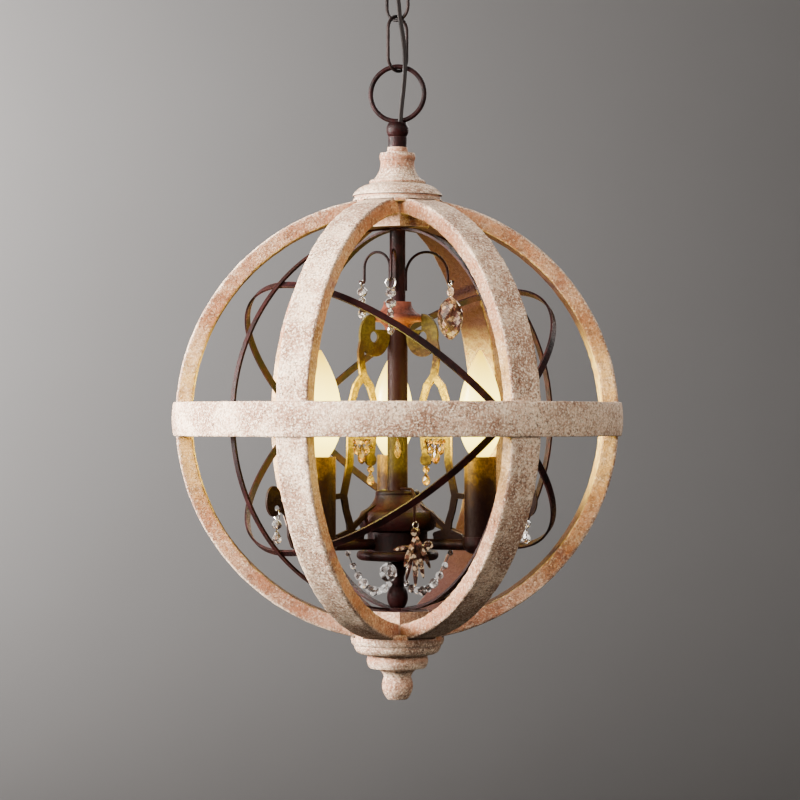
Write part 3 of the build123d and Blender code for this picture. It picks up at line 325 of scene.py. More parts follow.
def eased_box(half_across, half_along, ease, along=9):
    """A rectangle with eased corners, as points and the way each one faces."""
    corner, across = 5, 5   # points of each corner, and steps of each short side
    points, ways = [], []
    for quarter, steps in enumerate((across, along, across, along)):
        turn = np.linspace(0, math.pi / 2, corner) + quarter * math.pi / 2
        way = np.stack([np.cos(turn), np.sin(turn)], axis=-1)
        sign = np.sign(way[corner // 2])
        bend = sign * (np.array([half_across, half_along]) - ease) + ease * way
        step = np.linspace(0, 1, steps + 1, endpoint=False)[1:, None]
        last = bend[-1]
        following = last * (np.array([-1, 1]) if quarter % 2 == 0 else np.array([1, -1]))
        points += [bend, last + step * (following - last)]
        ways += [way, np.repeat(way[-1:], steps, axis=0)]
    return np.concatenate(points), np.concatenate(ways)


def build(name, shapes, body, material, replaces=(), smooth_angle=40.0):
    """One piece from shapes in millimetres round the orb's centre, riding on a body."""
    points, faces, offset = [], [], 0
    for shape in shapes:
        shape_points, shape_faces = outward(shape)
        points.append(shape_points)
        faces += [[index + offset for index in face] for face in shape_faces]
        offset += len(shape_points)
    mesh = bpy.data.meshes.new(name)
    mesh.from_pydata((np.concatenate(points) * MM + ORB_CENTRE).tolist(), [], faces)
    mesh.polygons.foreach_set("use_smooth", [smooth_angle > 0] * len(mesh.polygons))
    if smooth_angle > 0:
        mesh.set_sharp_from_angle(angle=math.radians(smooth_angle))
    mesh.update()
    mesh.materials.append(material)
    piece = placed(name, mesh)
    if body:
        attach(piece, body)
    if replaces:
        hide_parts(*replaces)
    return piece


# ---------------------------------------------------------------- materials
def new_material(name):
    material = bpy.data.materials.new(name)
    material.use_nodes = True
    tree = material.node_tree
    return material, tree, tree.nodes["Principled BSDF"]


def feed(tree, node, inputs):
    """Sets or links a node's sockets."""
    for key, value in inputs.items():
        if isinstance(value, bpy.types.NodeSocket):
            tree.links.new(value, node.inputs[key])
        else:
            node.inputs[key].default_value = value
    return node


def add(tree, kind, inputs=None, **settings):
    node = tree.nodes.new(kind)
    for key, value in settings.items():
        setattr(node, key, value)
    return feed(tree, node, inputs or {})


def object_coords(tree):
    return add(tree, "ShaderNodeTexCoord").outputs["Object"]


def blend_colours(tree, mask, low, high):
    """A colour between two, by a mask; each may be a colour or a socket."""
    mix = add(tree, "ShaderNodeMix", {"Factor": mask}, data_type="RGBA")
    feed(tree, mix, {6: low if isinstance(low, bpy.types.NodeSocket) else (*low, 1),
                     7: high if isinstance(high, bpy.types.NodeSocket) else (*high, 1)})
    return mix.outputs[2]


def blend_values(tree, mask, low, high):
    return add(tree, "ShaderNodeMapRange", {"Value": mask, "To Min": low, "To Max": high}).outputs[0]


def blend_steps(tree, value, low, high, way="SMOOTHSTEP"):
    """0 at low, 1 at high and a step between them; high may be the smaller."""
    return add(tree, "ShaderNodeMapRange", {
        "Value": value, "From Min": low, "From Max": high,
    }, interpolation_type=way).outputs[0]


def combine(tree, operation, first, second):
    return add(tree, "ShaderNodeMath", {0: first, 1: second}, operation=operation).outputs[0]


def clamped(tree, value, low=0.0, high=1.0):
    return add(tree, "ShaderNodeClamp", {"Value": value, "Min": low, "Max": high}).outputs[0]


def height_in_frame(tree, coords):
    return add(tree, "ShaderNodeSeparateXYZ", {"Vector": coords}).outputs[2]


def new_group(name, inputs, outputs):
    """An empty shader group with named sockets: inputs as (name, type, value), outputs as (name, type)."""
    group = bpy.data.node_groups.new(name, "ShaderNodeTree")
    for socket_name, kind, value in inputs:
        socket = group.interface.new_socket(socket_name, in_out="INPUT", socket_type=kind)
        if value is not None:
            socket.default_value = value
    for socket_name, kind in outputs:
        group.interface.new_socket(socket_name, in_out="OUTPUT", socket_type=kind)
    return group, group.nodes.new("NodeGroupInput").outputs, group.nodes.new("NodeGroupOutput")


def use(tree, group, inputs):
    return add(tree, "ShaderNodeGroup", inputs, node_tree=group).outputs


def blotch_group():
    """Soft uneven blotches: fractal noise cut between two levels."""
    group, given, result = new_group("blotches", [
        ("Vector", "NodeSocketVector", None), ("Scale", "NodeSocketFloat", 50.0),
        ("Low", "NodeSocketFloat", 0.4), ("High", "NodeSocketFloat", 0.6),
    ], [("Mask", "NodeSocketFloat")])
    noise = add(group, "ShaderNodeTexNoise", {
        "Vector": given["Vector"], "Scale": given["Scale"], "Detail": 5.0, "Roughness": 0.62,
    })
    feed(group, result, {"Mask": blend_steps(group, noise.outputs[0], given["Low"], given["High"])})
    return group


def speck_group():
    """Scattered round specks: the middle of some cells of a broken-up cell pattern."""
    group, given, result = new_group("specks", [
        ("Vector", "NodeSocketVector", None), ("Scale", "NodeSocketFloat", 300.0),
        ("Size", "NodeSocketFloat", 0.25), ("Share", "NodeSocketFloat", 0.3),
    ], [("Mask", "NodeSocketFloat")])
    cells = add(group, "ShaderNodeTexVoronoi", {"Vector": given["Vector"], "Scale": given["Scale"]})
    near = blend_steps(group, cells.outputs["Distance"], given["Size"], 0.0)
    pick = add(group, "ShaderNodeSeparateColor", {"Color": cells.outputs["Color"]})
    chosen = combine(group, "LESS_THAN", pick.outputs[0], given["Share"])
    feed(group, result, {"Mask": combine(group, "MULTIPLY", near, chosen)})
    return group


def edge_group():
    """Edges for wear and for painted highlights: where a rounded normal leaves the true one, broken up by noise.
    """
    group, given, result = new_group("edge_wear_and_highlight", [
        ("Vector", "NodeSocketVector", None), ("Width", "NodeSocketFloat", 0.001),
        ("Scale", "NodeSocketFloat", 300.0), ("Strength", "NodeSocketFloat", 3.0),
    ], [("Mask", "NodeSocketFloat")])
    rounded = add(group, "ShaderNodeBevel", {"Radius": given["Width"]}, samples=4)
    true_normal = add(group, "ShaderNodeNewGeometry").outputs["Normal"]
    match = add(group, "ShaderNodeVectorMath", {
        0: rounded.outputs[0], 1: true_normal,
    }, operation="DOT_PRODUCT")
    away = combine(group, "SUBTRACT", 1.0, match.outputs["Value"])
    noise = add(group, "ShaderNodeTexNoise", {
        "Vector": given["Vector"], "Scale": given["Scale"], "Detail": 4.0,
    })
    broken = combine(group, "MULTIPLY", away, noise.outputs[0])
    strong = combine(group, "MULTIPLY", broken, given["Strength"])
    feed(group, result, {"Mask": clamped(group, strong)})
    return group


BLOTCHES = blotch_group()
SPECKS = speck_group()
EDGE_WEAR_AND_HIGHLIGHT = edge_group()


def blotches(tree, coords, size_mm, low=0.4, high=0.6):
    return use(tree, BLOTCHES, {"Vector": coords, "Scale": 1 / (size_mm * MM), "Low": low, "High": high})[0]


def specks(tree, coords, size_mm, share, size=0.3):
    return use(tree, SPECKS, {"Vector": coords, "Scale": 1 / (size_mm * MM), "Size": size, "Share": share})[0]


def edge_wear_and_highlight(tree, coords, width_mm, strength):
    return use(tree, EDGE_WEAR_AND_HIGHLIGHT, {"Vector": coords, "Width": width_mm * MM, "Strength": strength})[0]


def outward_facing(tree, coords):
    """1 on faces that look away from the orb's centre, 0 on its sides and -1 on the inside."""
    normal = add(tree, "ShaderNodeTexCoord").outputs["Normal"]
    from_centre = add(tree, "ShaderNodeVectorMath", {0: coords, 1: tuple(ORB_CENTRE)}, operation="SUBTRACT")
    radial = add(tree, "ShaderNodeVectorMath", {0: from_centre.outputs[0]}, operation="NORMALIZE")
    match = add(tree, "ShaderNodeVectorMath", {0: normal, 1: radial.outputs[0]}, operation="DOT_PRODUCT")
    return match.outputs["Value"]


def bumped(tree, height, distance_mm, strength=1.0):
    return add(tree, "ShaderNodeBump", {
        "Height": height, "Distance": distance_mm * MM, "Strength": strength,
    }).outputs[0]


def scaled_by(tree, value, factor, plus=0.0):
    """A value times a factor, plus a constant."""
    return add(tree, "ShaderNodeMath", {0: value, 1: factor, 2: plus}, operation="MULTIPLY_ADD").outputs[0]


# Colours are linear red, green and blue.
BARE_DARK, BARE_RED, BARE_GRAIN = (0.060, 0.019, 0.014), (0.24, 0.090, 0.050), (0.26, 0.115, 0.070)
WASH_THIN, WASH_THICK, WASH_SCUFFED = (0.36, 0.21, 0.13), (0.81, 0.585, 0.40), (0.45, 0.235, 0.145)
BROWN_FLECK, PALE_FLECK, DARK_NICK = (0.120, 0.066, 0.042), (0.95, 0.79, 0.60), (0.06, 0.03, 0.02)
# Painted lamp light and shade on the wood: golden tones for the lamps' glow on the inside faces, and a near black
# for painted shade away from the lamps.
LAMPLIGHT_DULL, LAMPLIGHT_BRIGHT, PAINTED_SHADE = (0.62, 0.36, 0.10), (0.90, 0.68, 0.24), (0.042, 0.013, 0.011)
# The sides: painted lamp light near the lamps' height, and a darker rust-brown away from it.
SIDE_LAMPLIGHT, SIDE_RUSTY = (0.74, 0.44, 0.14), (0.40, 0.15, 0.070)
# the pale edge colour is partly wear and partly a painted highlight along the edges
TURNED_RING, RUBBED_EDGE_AND_HIGHLIGHT = (0.25, 0.145, 0.105), (0.90, 0.76, 0.62)


def painted_lamp_light(tree, coords, facing, scuffs, colour):
    """Painted lamp light and shade over a colour: a painted golden glow of the lamps on the inside, painted shade
    over it high and low, and painted lamp light on the sides that turns a darker rust-brown away from the lamps'
    height.
    """
    height_up = height_in_frame(tree, coords)
    from_middle = combine(tree, "ABSOLUTE", scaled_by(tree, height_up, 1.0, -ORB_CENTRE[2]), 0.0)
    # 0 at the lamps' height, 1 high and low away from them: where painted shade falls and the sides turn darker
    painted_dark = blend_steps(tree, from_middle, 36 * MM, 92 * MM)
    inside = blend_steps(tree, facing, -0.35, -0.85)
    # painted golden lamp light on the inside faces
    lamplight = blend_colours(tree, scuffs, LAMPLIGHT_DULL, LAMPLIGHT_BRIGHT)
    colour = blend_colours(tree, scaled_by(tree, inside, 0.75), colour, lamplight)
    # painted shade on the inside faces, high and low
    colour = blend_colours(tree, combine(tree, "MULTIPLY", inside, painted_dark), colour, PAINTED_SHADE)
    side = combine(tree, "SUBTRACT", 1.0, combine(tree, "ABSOLUTE", scaled_by(tree, facing, 2.2), 0.0))
    # the sides: painted lamp light near the lamps' height, darker rust-brown away from it
    warm = blend_colours(tree, painted_dark, SIDE_LAMPLIGHT, SIDE_RUSTY)
    side = combine(tree, "MULTIPLY", clamped(tree, side), scaled_by(tree, scuffs, 0.35, 0.40))
    return blend_colours(tree, side, colour, warm)


def washed_wood(name, cover=0.5, turned=False):
    """Cream wash rubbed off red-brown wood: thick outside, thin on the sides and inside, with nicks."""
    material, tree, shader = new_material(name)
    coords = object_coords(tree)
    facing = outward_facing(tree, coords)
    patches = blotches(tree, coords, 38, 0.38, 0.62)
    scuffs = blotches(tree, coords, 9, 0.40, 0.60)
    grain = blotches(tree, coords, 3.2, 0.42, 0.58)
    nicks = specks(tree, coords, 6.5, 0.20, 0.24)
    edges = edge_wear_and_highlight(tree, coords, 1.2, 5.0)
    bare = blend_colours(tree, scuffs, BARE_DARK, BARE_RED)
    bare = blend_colours(tree, scaled_by(tree, grain, 0.40), bare, BARE_GRAIN)
    wash = blend_colours(tree, patches, WASH_THIN, WASH_THICK)
    wash = blend_colours(tree, scaled_by(tree, scuffs, -0.55, 0.55), wash, WASH_SCUFFED)
    level = scaled_by(tree, facing, 0.46, cover)
    uneven = scaled_by(tree, grain, 0.42, -0.21)
    patchy = scaled_by(tree, patches, 0.34, -0.17)
    cover_mask = combine(tree, "ADD", combine(tree, "ADD", level, uneven), patchy)
    cover_mask = clamped(tree, cover_mask, 0.06)
    colour = blend_colours(tree, cover_mask, bare, wash)
    flecks = blotches(tree, coords, 2.1, 0.49, 0.60)
    thick = scaled_by(tree, blotches(tree, coords, 22, 0.36, 0.66), 0.50, 0.36)
    colour = blend_colours(tree, combine(tree, "MULTIPLY", flecks, thick), colour, BROWN_FLECK)
    pale = scaled_by(tree, blotches(tree, coords, 1.7, 0.50, 0.60), 0.85)
    colour = blend_colours(tree, combine(tree, "MULTIPLY", pale, cover_mask), colour, PALE_FLECK)
    # painted lamp light and painted shade over the wash and the bare wood
    colour = painted_lamp_light(tree, coords, facing, scuffs, colour)
    if turned:
        squeezed = add(tree, "ShaderNodeMapping", {"Vector": coords, "Scale": (0.06, 0.06, 1.0)}).outputs[0]
        rings = scaled_by(tree, blotches(tree, squeezed, 2.6, 0.54, 0.62), 0.55)
        colour = blend_colours(tree, rings, colour, TURNED_RING)
    colour = blend_colours(tree, scaled_by(tree, nicks, 0.85), colour, DARK_NICK)
    # pale edges: partly rubbed wear, partly a painted highlight
    colour = blend_colours(tree, scaled_by(tree, edges, 0.7), colour, RUBBED_EDGE_AND_HIGHLIGHT)
    height = combine(tree, "SUBTRACT", scaled_by(tree, grain, 0.5), combine(tree, "ADD", nicks, flecks))
    feed(tree, shader, {
        "Base Color": colour, "Roughness": blend_values(tree, grain, 0.86, 0.62),
        "Normal": bumped(tree, height, 0.4, 0.8), "Specular IOR Level": 0.2,
    })
    return material


def rust_iron(name, dark, warm, rub, gloss):
    """Rust-brown painted iron: dark and maroon clouds, fine pits, paler rubbed edges."""
    material, tree, shader = new_material(name)
    coords = object_coords(tree)
    clouds = blotches(tree, coords, 16, 0.42, 0.62)
    grain = blotches(tree, coords, 2.2, 0.44, 0.60)
    pits = specks(tree, coords, 2.6, 0.3, 0.3)
    edges = edge_wear_and_highlight(tree, coords, 0.5, 4.0)
    colour = blend_colours(tree, clouds, dark, warm)
    colour = blend_colours(tree, scaled_by(tree, grain, 0.30), colour, tuple(1.5 * c for c in warm))
    colour = blend_colours(tree, scaled_by(tree, edges, 0.6), colour, rub)
    height = combine(tree, "SUBTRACT", grain, pits)
    feed(tree, shader, {
        "Base Color": colour, "Metallic": blend_values(tree, grain, 0.0, 0.20),
        "Roughness": blend_values(tree, grain, gloss + 0.22, gloss), "Specular IOR Level": 0.10,
        "Normal": bumped(tree, height, 0.10, 0.7),
    })
    return material


DULL_IRON, RUBBED_IRON = (0.012, 0.004, 0.003), (0.22, 0.13, 0.05)


def iron_painted_lamplight(name, stops):
    """Iron with the lamps' light and shade painted into its colour: its colour runs through stops, each a height
    in mm and a colour; the golden and olive stops near the lamps are painted lamp light, and the near-black stops
    low down are painted shade.
    """
    material, tree, shader = new_material(name)
    coords = object_coords(tree)
    height = height_in_frame(tree, coords)
    grain = blotches(tree, coords, 2.4, 0.42, 0.60)
    clouds = blotches(tree, coords, 12, 0.40, 0.62)
    uneven = scaled_by(tree, clouds, 12 * MM, ORB_CENTRE[2] - 6 * MM)
    above_orb = combine(tree, "SUBTRACT", height, uneven)
    # painted lamp light and shade by height, through the stops
    colour = None
    for (low, low_colour), (high, high_colour) in zip(stops, stops[1:]):
        share = blend_steps(tree, above_orb, low * MM, high * MM)
        colour = blend_colours(tree, share, low_colour if colour is None else colour, high_colour)
    edges = edge_wear_and_highlight(tree, coords, 0.5, 4.0)
    dull = scaled_by(tree, combine(tree, "SUBTRACT", 1.0, grain), 0.5)
    colour = blend_colours(tree, dull, colour, DULL_IRON)
    colour = blend_colours(tree, scaled_by(tree, edges, 0.35), colour, RUBBED_IRON)
    feed(tree, shader, {
        "Base Color": colour, "Metallic": blend_values(tree, grain, 0.0, 0.15), "Specular IOR Level": 0.08,
        "Roughness": blend_values(tree, grain, 0.56, 0.38), "Normal": bumped(tree, grain, 0.10, 0.7),
    })
    return material


def simple_finish(name, low, high, size_mm, rough_low, rough_high, metallic=0.0, bump_mm=0.05):
    """A finish of two near colours in fine blotches, with its own gloss and a fine bump."""
    material, tree, shader = new_material(name)
    coords = object_coords(tree)
    mask = blotches(tree, coords, size_mm)
    feed(tree, shader, {
        "Base Color": blend_colours(tree, mask, low, high), "Metallic": metallic,
        "Roughness": blend_values(tree, mask, rough_low, rough_high),
        "Normal": bumped(tree, mask, bump_mm, 0.6),
    })
    return material


FACET_SIZE = 3.4
# share of facets that glow as painted glints
GLINT_SHARE = 0.20


def cut_crystal(name, clear, painted_dark, glow, low=0.30, high=0.62):
    """Cut glass, each facet clear or darkened as a painted dark reflection by its place, with a few painted bright
    glints that glow.
    """
    material, tree, shader = new_material(name)
    coords = object_coords(tree)
    cells = add(tree, "ShaderNodeTexVoronoi", {"Vector": coords, "Scale": 1 / (FACET_SIZE * MM)})
    pick = add(tree, "ShaderNodeSeparateColor", {"Color": cells.outputs["Color"]}).outputs
    # facets darkened as painted dark reflections
    dark_facet = blend_steps(tree, pick[0], low, high, "LINEAR")
    # painted glints: a few facets that glow
    glint = combine(tree, "GREATER_THAN", pick[1], 1 - GLINT_SHARE)
    feed(tree, shader, {
        "Base Color": blend_colours(tree, dark_facet, clear, painted_dark),
        "Roughness": blend_values(tree, pick[2], 0.02, 0.10), "Transmission Weight": 0.9, "IOR": 1.62,
        "Emission Color": blend_colours(tree, glint, (0.0, 0.0, 0.0), glow), "Emission Strength": 0.45,
    })
    return material


GLOW_BELLY, GLOW_TIP, GLOW_FOOT = (1.0, 0.80, 0.14), (0.36, 0.21, 0.0), (0.40, 0.25, 0.0)


def lit_glass():
    """A frosted flame lamp that glows: near white at its belly, golden towards its tip and its foot."""
    material, tree, shader = new_material("lit_glass")
    coords = object_coords(tree)
    low, high = (corner[2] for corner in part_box("bulb_glass_1"))
    height = height_in_frame(tree, coords)
    rise = blend_steps(tree, height, low + 0.50 * (high - low), high, "LINEAR")
    foot = blend_steps(tree, height, low + 0.30 * (high - low), low, "LINEAR")
    frost = blotches(tree, coords, 5)
    glow = blend_colours(tree, rise, GLOW_BELLY, GLOW_TIP)
    glow = blend_colours(tree, foot, glow, GLOW_FOOT)
    feed(tree, shader, {
        "Base Color": blend_colours(tree, frost, (0.06, 0.035, 0.006), (0.09, 0.05, 0.010)),
        "Roughness": blend_values(tree, frost, 0.30, 0.42), "Emission Color": glow, "Emission Strength": 8.0,
        "Normal": bumped(tree, frost, 0.03, 0.4),
    })
    return material


WOOD = washed_wood("washed_wood")
TURNED_WOOD = washed_wood("washed_turned_wood", 0.66, turned=True)
IRON = rust_iron("rust_iron", (0.004, 0.0015, 0.0015), (0.017, 0.0035, 0.0035), (0.15, 0.070, 0.062), 0.34)
MAROON = (0.012, 0.0022, 0.0020)
OLIVE_PAINTED_GLOW = (0.060, 0.042, 0.0030)
# the column: olive painted lamp light below the lamps, its own maroon above and below it
COLUMN_IRON = iron_painted_lamplight("column_iron", ((-62, MAROON), (-38, OLIVE_PAINTED_GLOW), (-14, OLIVE_PAINTED_GLOW), (6, MAROON)))
# the sleeves: golden painted lamp light at their tops, darkening to painted shade at their feet
SLEEVE_IRON = iron_painted_lamplight("sleeve_iron", (
    (-80, (0.008, 0.0020, 0.0015)), (-60, (0.030, 0.012, 0.001)), (-34, (0.20, 0.105, 0.003)),
))
# the brackets: golden painted lamp light near the lamps, painted shade below, darker brown and olive tones above
BRACKET_IRON = iron_painted_lamplight("bracket_iron", (
    (-72, (0.008, 0.0020, 0.0015)), (-48, (0.036, 0.019, 0.001)), (-14, (0.36, 0.24, 0.005)),
    (30, (0.55, 0.36, 0.008)), (56, (0.045, 0.020, 0.002)), (84, (0.085, 0.062, 0.005)),
    (110, (0.05, 0.022, 0.008)),
))
TERRACOTTA = rust_iron(
    "terracotta_iron", (0.085, 0.024, 0.015), (0.20, 0.058, 0.035), (0.40, 0.19, 0.13), 0.46,
)
CHAIN = rust_iron("chain_iron", (0.006, 0.004, 0.004), (0.022, 0.013, 0.012), (0.10, 0.07, 0.06), 0.36)
DOWEL = simple_finish("bare_dowel", (0.46, 0.29, 0.16), (0.56, 0.38, 0.22), 4, 0.6, 0.75)
STEEL = simple_finish("zinc_steel", (0.50, 0.49, 0.46), (0.62, 0.61, 0.58), 3, 0.28, 0.42, 0.95)
GREEN = simple_finish("ground_green", (0.05, 0.30, 0.10), (0.08, 0.38, 0.14), 2, 0.3, 0.4, 0.7)
SHEATH = simple_finish("cord_sheath", (0.006, 0.004, 0.004), (0.016, 0.010, 0.009), 3, 0.72, 0.88)
CONNECTOR = simple_finish("connector_orange", (0.62, 0.22, 0.04), (0.70, 0.28, 0.06), 3, 0.4, 0.5)
PHENOLIC = simple_finish("socket_cream", (0.78, 0.74, 0.64), (0.86, 0.83, 0.74), 3, 0.35, 0.45)
BRASS = simple_finish("lamp_brass", (0.60, 0.42, 0.17), (0.72, 0.54, 0.25), 2, 0.25, 0.4, 1.0)
SILVER = simple_finish("bright_wire", (0.80, 0.77, 0.72), (0.90, 0.88, 0.84), 2, 0.14, 0.24, 1.0)
# each crystal: its clear tone, the colour of its painted dark reflections and of its painted glints
CRYSTAL = cut_crystal("cut_crystal", (0.96, 0.94, 0.92), (0.10, 0.065, 0.055), (1.0, 0.97, 0.93))
ROSE_CRYSTAL = cut_crystal(
    "rose_crystal", (0.80, 0.58, 0.42), (0.13, 0.045, 0.038), (1.0, 0.74, 0.46), 0.15, 0.50,
)
GOLD_CRYSTAL = cut_crystal(
    "gold_crystal", (0.90, 0.62, 0.14), (0.38, 0.17, 0.02), (1.0, 0.70, 0.12), 0.20, 0.60,
)
LIT = lit_glass()

SLOT_FINISH = {
    "painted_wood": WOOD, "dowel_wood": DOWEL, "dark_iron": IRON, "chain_iron": CHAIN, "plated_steel": STEEL,
    "ground_green": GREEN, "cord_sheath": SHEATH, "connector_plastic": CONNECTOR, "socket_phenolic": PHENOLIC,
    "lamp_brass": BRASS, "lamp_glass": LIT, "crystal": CRYSTAL,
}
for part in frame["record"]["subparts"]:
    node = frame["nodes"][part["node"]]
    node.data.materials.clear()
    node.data.materials.append(SLOT_FINISH[part["material_slot"]])
for name in ("top_cap", "bottom_finial"):
    frame["nodes"][name].data.materials[0] = TURNED_WOOD
for name, finish in (
    ("bell_collar", TERRACOTTA), ("column_tube", COLUMN_IRON), ("candle_sleeves", SLEEVE_IRON),
    *((f"scroll_bracket_{number}", BRACKET_IRON) for number in (1, 2, 3)),
):
    frame["nodes"][name].data.materials[0] = finish


# ---------------------------------------------------------------- wooden orb
RIB_COUNT = 6
RIB_THICKNESS = 15.0
RIB_EASE = 1.8
RIB_WEAR = 0.34
BAND_EASE = 1.0
BAND_WEAR = 0.30
BAND_BULGE = 1.4
SEAT = 0.05          # between a rib and the band's notch for it
rib_low, rib_high = (np.array(corner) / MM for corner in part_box("rib_1"))
RIB_OUTER = rib_high[0]
RIB_HALF = rib_high[1]
RIB_CUT = rib_low[0]
BAND_HALF = (band_high[2] - band_low[2]) / 2 / MM
LAP_RADIUS = (RIB_OUTER - RIB_THICKNESS + ORB_RADIUS) / 2
DENT_SIZE, CHIP_SIZE, CORNER_DENT_SIZE = 15, 5, 8
CORNER_DEPTH = 1.4   # how many times a bar's depth of wear its corner dents are scaled by
RIPPLE_LIMIT = 1.5   # where the ripples of dents and chips are cut off


def hewn(points, ways, depth, seed):
    """How far each point is worn in: shallow dents all over, and deeper ones along the eased corners."""
    dents, chips = (
        RIPPLE_LIMIT + np.clip(ripple(points, size, seed + k), -RIPPLE_LIMIT, RIPPLE_LIMIT)
        for k, size in enumerate((DENT_SIZE, CHIP_SIZE))
    )
    corner = 2 * np.abs(ways[:, 0] * ways[:, 1])
    corner_dents = np.clip(ripple(points, CORNER_DENT_SIZE, seed + 2), 0, 2)
    return depth * dents / 3 + depth * chips / 5 + corner * CORNER_DEPTH * depth * corner_dents


def rib_shape(seed):
    """An eased bar bent to a half circle in the XZ plane, cut off upright and lapped at the band."""
    section, ways = eased_box(RIB_THICKNESS / 2, RIB_HALF, RIB_EASE)
    whole = RIB_OUTER - RIB_THICKNESS / 2 + section[:, 0]
    lapped = np.minimum(whole, LAP_RADIUS)
    share = np.linspace(0, 1, 70)[:, None]
    notch = np.arcsin((BAND_HALF + SEAT) / whole)
    upper = notch + share * (np.arccos(RIB_CUT / whole) - notch)
    middle = np.linspace(-1, 1, 9)[:, None] * np.arcsin((BAND_HALF + SEAT) / lapped)
    angle = np.concatenate([-upper[::-1], middle, upper])
    radius = np.concatenate([whole + 0 * upper, lapped + 0 * middle, whole + 0 * upper])
    side = section[:, 1] + 0 * angle
    grid = np.stack([radius * np.cos(angle), side, radius * np.sin(angle)], axis=-1)
    worn = hewn(grid, ways, RIB_WEAR, seed)
    facing = np.stack([
        ways[:, 0] * np.cos(angle), ways[:, 1] + 0 * angle, ways[:, 0] * np.sin(angle),
    ], axis=-1)
    return grid_shape(grid - worn[..., None] * facing)


def band_shape(seed):
    """A crowned bar bent to a ring round Z, with a notch inside at each rib."""
    section, ways = eased_box(RIB_THICKNESS / 2, BAND_HALF, BAND_EASE, along=8)
    out, up = section.T
    whole = ORB_RADIUS - RIB_THICKNESS / 2 + out
    whole = whole - BAND_BULGE * (up / BAND_HALF) ** 2 * np.clip(2 * out / RIB_THICKNESS, 0, 1)
    lapped = np.maximum(whole, LAP_RADIUS + SEAT)
    bound, inner_bound = (np.arcsin((RIB_HALF + SEAT) / r) for r in (whole, lapped))
    turn = 2 * math.pi / RIB_COUNT
    share = np.linspace(0, 1, 26)[1:-1, None]
    angles, radii = [], []
    for rib in range(RIB_COUNT):
        azimuth = rib * turn
        free = bound + share * (turn - 2 * bound)
        notch = np.linspace(-1, 1, 5)[:, None] * inner_bound
        angles += [azimuth - bound[None], azimuth + notch, azimuth + bound[None], azimuth + free]
        radii += [whole[None], lapped + 0 * notch, whole[None], whole + 0 * free]
    angle, radius = np.concatenate(angles), np.concatenate(radii)
    grid = np.stack([radius * np.cos(angle), radius * np.sin(angle), up + 0 * angle], axis=-1)
    worn = hewn(grid, ways, BAND_WEAR, seed)
    facing = np.stack([
        ways[:, 0] * np.cos(angle), ways[:, 0] * np.sin(angle), ways[:, 1] + 0 * angle,
    ], axis=-1)
    return grid_shape(grid - worn[..., None] * facing, loop_rows=True)


def make_orb():
    for number in range(1, RIB_COUNT + 1):
        rib = moved(rib_shape(10 * number), azimuth=(number - 1) * 360 / RIB_COUNT)
        build(f"hewn_rib_{number}", [rib], "orb", WOOD, [f"rib_{number}"])
    build("hewn_band", [band_shape(7)], "orb", WOOD, ["equator_band"])


# ---------------------------------------------------------------- candle lamps
LAMP_COUNT = 3
LAMP_AZIMUTH = 90.0
LAMP_WATTS = 1.15
LAMP_COLOUR = (1.0, 0.86, 0.16)
LAMP_HEIGHT = -4.0       # of the small light in each bulb, above the orb's centre
LAMP_SOFTNESS = 11 * MM
BULB_WALL = 0.8
BULB_NECK = 6.2
BULB_POINT = 0.9
lamp_low, lamp_high = (np.array(corner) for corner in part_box("bulb_glass_1"))
lamp_centre = (lamp_low + lamp_high) / 2
LAMP_REACH = math.hypot(*lamp_centre[:2]) / MM
BULB_RADIUS = (lamp_high[0] - lamp_low[0]) / 2 / MM
BULB_FOOT, BULB_TIP = ((z - ORB_CENTRE[2]) / MM for z in (lamp_low[2], lamp_high[2]))
BULB_LENGTH = 96.0   # of glass above the lamp base


def bulb_profile(radius, inset):
    """The flame's outline from its neck to its tip, drawn in by an inset."""
    rim = BULB_TIP - BULB_LENGTH

    def spot(width, share):
        return (width * radius, rim + share * BULB_LENGTH - inset)

    neck = BULB_NECK - inset
    return outline(
        (neck, BULB_FOOT), (neck, rim + 1), (spot(0.78, 0.156), spot(1, 0.333)),
        (spot(0.93, 0.552), spot(0.67, 0.75)),
        (spot(0.37, 0.885), (max(BULB_POINT - inset, 0.1), BULB_TIP - inset)),
        steps=14,
    )


def make_lamps():
    """Three frosted flame lamps, each with its own small warm light inside."""
    outside = bulb_profile(BULB_RADIUS, 0.0)
    inside = bulb_profile(BULB_RADIUS - BULB_WALL, BULB_WALL)
    inside[0, 1] = outside[0, 1]
    skin = lathe(np.concatenate([outside, inside[::-1]]), segments=72, loop=True)
    for number in range(1, LAMP_COUNT + 1):
        azimuth = LAMP_AZIMUTH + (number - 1) * 360 / LAMP_COUNT
        shape = moved(skin, (LAMP_REACH, 0, 0), azimuth)
        flame = build(
            f"frosted_flame_{number}", [shape], f"bulb_{number}", LIT, [f"bulb_glass_{number}"]
        )
        flame.visible_shadow = False
        data = bpy.data.lights.new(f"lamp_glow_{number}", "POINT")
        data.energy = LAMP_WATTS
        data.color = LAMP_COLOUR
        data.shadow_soft_size = LAMP_SOFTNESS
        glow = placed(f"lamp_glow_{number}", data)
        place = turn_about_z(np.array([[LAMP_REACH, 0.0, LAMP_HEIGHT]]), azimuth)[0]
        glow.location = place * MM + ORB_CENTRE
        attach(glow, f"bulb_{number}")


